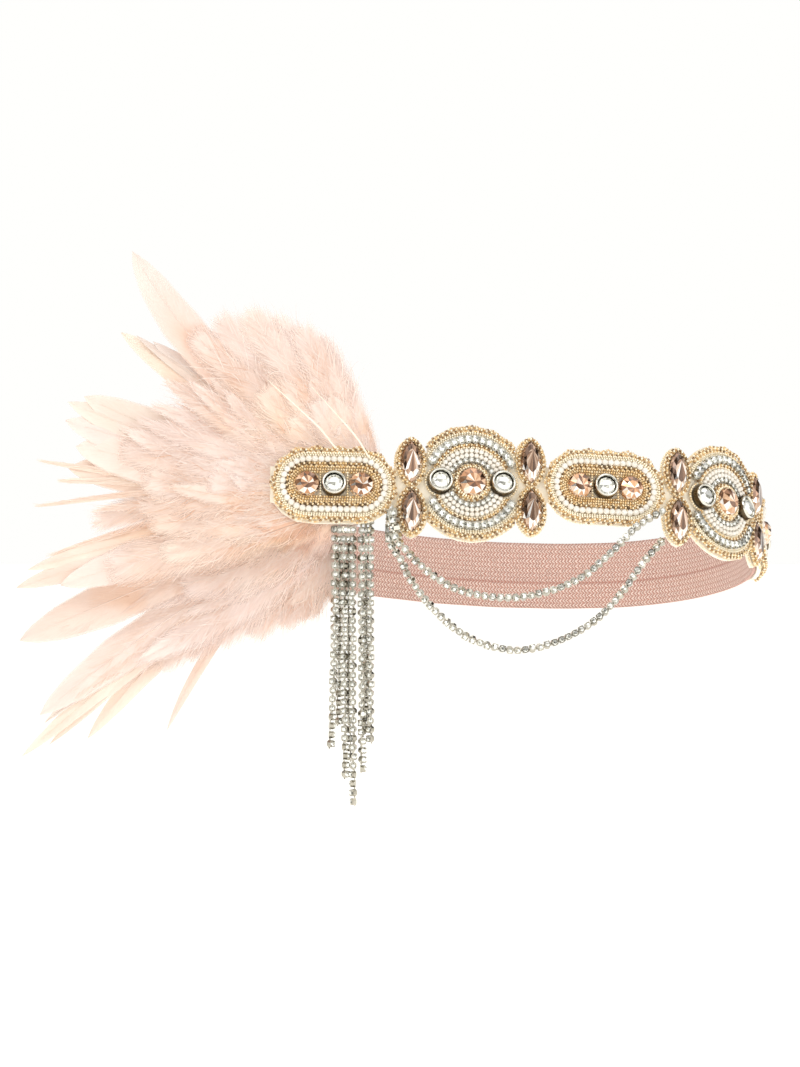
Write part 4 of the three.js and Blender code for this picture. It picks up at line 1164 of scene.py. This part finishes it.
def smooth_path(points, steps=400):
    """A centripetal Catmull-Rom line through points, as the part's own routes are drawn."""
    points = np.asarray(points, float)
    points = np.vstack([2 * points[0] - points[1], points, 2 * points[-1] - points[-2]])
    knots = np.concatenate([[0], np.cumsum(np.sqrt(np.linalg.norm(np.diff(points, axis=0), axis=1)))])
    line = []
    for i in range(1, len(points) - 2):
        t0, t1, t2, t3 = knots[i - 1:i + 3]
        p0, p1, p2, p3 = points[i - 1:i + 3]
        t = np.linspace(t1, t2, max(2, steps // (len(points) - 3)), endpoint=False)[:, None]
        a1 = (t1 - t) / (t1 - t0) * p0 + (t - t0) / (t1 - t0) * p1
        a2 = (t2 - t) / (t2 - t1) * p1 + (t - t1) / (t2 - t1) * p2
        a3 = (t3 - t) / (t3 - t2) * p2 + (t - t2) / (t3 - t2) * p3
        b1 = (t2 - t) / (t2 - t0) * a1 + (t - t0) / (t2 - t0) * a2
        b2 = (t3 - t) / (t3 - t1) * a2 + (t - t1) / (t3 - t1) * a3
        line.append((t2 - t) / (t2 - t1) * b1 + (t - t1) / (t2 - t1) * b2)
    return np.vstack(line + [points[-2:-1]])


cup = make_cup(1.2, 1.5)
sewn = make_cup(1.25, 1.2, 1.05)
for kind, number, motif in numbered("round"):
    rows = []
    for share, height, pitch, size in ((0.345, 1.2, 2.5, 1.15), (0.91, 0.8, 1.9, 0.75)):
        for sign in (1, -1):
            frames, _ = set_row(motif, round_path(share, sign), height, pitch, closed=False)
            frames[:, :3, :3] *= size
            rows.append(frames)
    row = scatter(f"crystal_arcs_{number}", sewn, np.concatenate(rows))
    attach(row, "root")
bpy.data.objects.remove(sewn)
# The tassel: eight strands of silver cup chain with clear stones, hung side by side in two rows from a bar
# behind the left motif.
TASSEL_ALONG, TASSEL_BAR_DROP, TASSEL_START, STRAND_MIDDLE = 26.2, 9.9, 14.4, -0.15
STRAND_ROW_GAP, STRAND_PITCH, STRAND_LENGTH, STRAND_SETTLE, STRAND_LINK = 2.2, 2.9, 90, 12, 2.95
STRANDS = [
    # row, across, length, sway
    ("front", -2, 0.79, -0.5),
    ("front", -1, 0.9, 0.2),
    ("front", 0, 1, 0.1),
    ("front", 1, 0.88, 0.1),
    ("front", 2, 0.77, 0),
    ("back", -1.5, 0.71, -0.1),
    ("back", -0.5, 0.84, 0.1),
    ("back", 1.5, 0.73, 0.1),
]
frames = []
for place, across, length, sway in STRANDS:
    s = (TASSEL_ALONG + across * STRAND_PITCH) * MM
    drops = [TASSEL_BAR_DROP + (TASSEL_START - TASSEL_BAR_DROP) * share for share in (0, 0.6, 1)]
    ends = [on_band(s, -drop * MM, STRAND_MIDDLE * MM) for drop in drops]
    set_back = STRAND_ROW_GAP * MM if place == "back" else 0
    stops = []
    for share in (0, 0.25, 0.5, 0.75, 1):
        drop = STRAND_SETTLE + (length * STRAND_LENGTH - STRAND_SETTLE) * share
        stops.append(ends[-1] + np.array([sway * STRAND_PITCH * share**2 * MM, set_back, -drop * MM]))
    here, along = resample(smooth_path(ends + stops), STRAND_LINK * MM, near=0.5 * MM)
    turn = rng.normal(0, 0.4, len(here))
    turn[-4:] += rng.choice([-1.3, 0.9, 1.3])
    frames.append(faced_front(here, along, turn))
tassel = scatter("tassel_chains", cup, np.concatenate(frames))
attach(tassel, "root")
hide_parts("tassel")

# The swags: two lengths of the same chain, hung from the notch beside the first oval to the notch beside
# the second one. The upper is the shorter, and the first four cups of each are larger.
SWAG_BOW, SWAG_LINK = 4, 2.6
SWAGS = {
    "swag_upper": {
        "from": (38.6, 8.4, 4.1),
        "to": (129.0, 4.6, 4.6),
        "sag": 29,
        "route": [(0.02, 0.36), (0.05, 0.47), (0.11, 0.66), (0.18, 0.82), (0.25, 0.92), (0.4, 1),
                  (0.55, 0.94), (0.69, 0.76), (0.8, 0.48), (0.9, 0.18)],
    },
    "swag_lower": {
        "from": (38.6, 8.4, 1.4),
        "to": (131.8, 12.6, -3.2),
        "sag": 42,
        "route": [(0, 0.27), (0.03, 0.36), (0.06, 0.49), (0.11, 0.64), (0.16, 0.75), (0.21, 0.84),
                  (0.27, 0.92), (0.34, 0.97), (0.41, 0.99), (0.48, 0.98), (0.6, 0.89), (0.74, 0.7),
                  (0.84, 0.46), (0.92, 0.21)],
    },
}
for name, swag in SWAGS.items():
    ends = [on_band(s * MM, -drop * MM, (2.4 + rise) * MM) for s, drop, rise in (swag["from"], swag["to"])]
    free = []
    for share, drop in swag["route"]:
        hang = [0, -SWAG_BOW * MM * math.sin(math.pi * share), -swag["sag"] * drop * MM]
        free.append(ends[0] + (ends[1] - ends[0]) * share + np.array(hang))
    here, along = resample(smooth_path([ends[0], *free, ends[1]], 800), SWAG_LINK * MM, near=0.5 * MM)
    roll = 0.5 * np.cos(np.linspace(0, math.pi, len(here))) + rng.normal(0, 0.3, len(here))
    frames = faced_front(here, along, roll)
    frames[:4, :3, :3] *= 1.35
    row = scatter(name + "_cups", cup, frames)
    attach(row, "root")
    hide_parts(name)
bpy.data.objects.remove(cup)


# The stage: a plain pale floor under the piece, and soft studio light. The camera stands level with the
# piece, a long way off with a long lens.
PHOTO_HEIGHT, FOCAL_PIXELS, SENSOR_WIDTH = 1067, 2448, 36
camera = new_object("camera", bpy.data.cameras.new("camera"))
camera.location = (-28.84 * MM, -863.57 * MM, 0.585 * MM)
camera.rotation_euler = (math.pi / 2, 0, 0)
camera.data.sensor_width = SENSOR_WIDTH
camera.data.lens = FOCAL_PIXELS * SENSOR_WIDTH / PHOTO_HEIGHT
camera.data.clip_start, camera.data.clip_end = 0.05, 20
bpy.context.scene.camera = camera

bpy.ops.object.select_all(action="DESELECT")
bpy.ops.mesh.primitive_plane_add(size=30, location=(0, 0, -0.2))
floor = bpy.context.object
floor.name = "floor"
paper = Finish("pale_paper", roughness=0.9, emission_strength=0.5, emission_color=colour(255, 254, 250))
paper.set("Base Color", paper.blend(paper.noise(3, 2.0) * 0.3, colour(253, 252, 247), colour(248, 247, 243)))
floor.data.materials.append(paper.material)

LAMPS = {
    "key": {"place": (-0.7, -1.3, 1.3), "size": 0.9, "power": 10},
    "fill": {"place": (1.2, -1.2, 0.5), "size": 0.8, "power": 5},
    "top": {"place": (0.1, 0.3, 1.6), "size": 1.6, "power": 8},
}
for name, lamp in LAMPS.items():
    light = bpy.data.lights.new(name, "AREA")
    light.size, light.energy = lamp["size"], lamp["power"]
    made = new_object(name, light)
    made.location = lamp["place"]
    made.rotation_euler = (-Vector(lamp["place"])).to_track_quat("-Z", "Y").to_euler()

bpy.context.scene.view_settings.view_transform = "Standard"
bpy.context.scene.cycles.transparent_max_bounces = 48
world = bpy.data.worlds.new("studio")
bpy.context.scene.world = world
studio = Nodes(world)
rays = studio.node("ShaderNodeLightPath")
cards = studio.noise(3.2, 1.0, studio.node("ShaderNodeTexCoord").out("Generated"))
reflected = studio.ramp(cards, (0.42, (0.03, 0.03, 0.03, 1)), (0.56, (1.5, 1.48, 1.44, 1)))
backgrounds = ((colour(255, 252, 248), 0.62), (reflected, 1.0), (colour(255, 255, 253), 1.0))
soft, bright, white = (studio.node("ShaderNodeBackground", {"Color": tint, "Strength": strength})
                       for tint, strength in backgrounds)
lit = studio.node("ShaderNodeMixShader", {0: rays.out("Is Glossy Ray"), 1: soft, 2: bright})
seen = studio.node("ShaderNodeMixShader", {0: rays.out("Is Camera Ray"), 1: lit, 2: white})
studio.node("ShaderNodeOutputWorld", {0: seen})
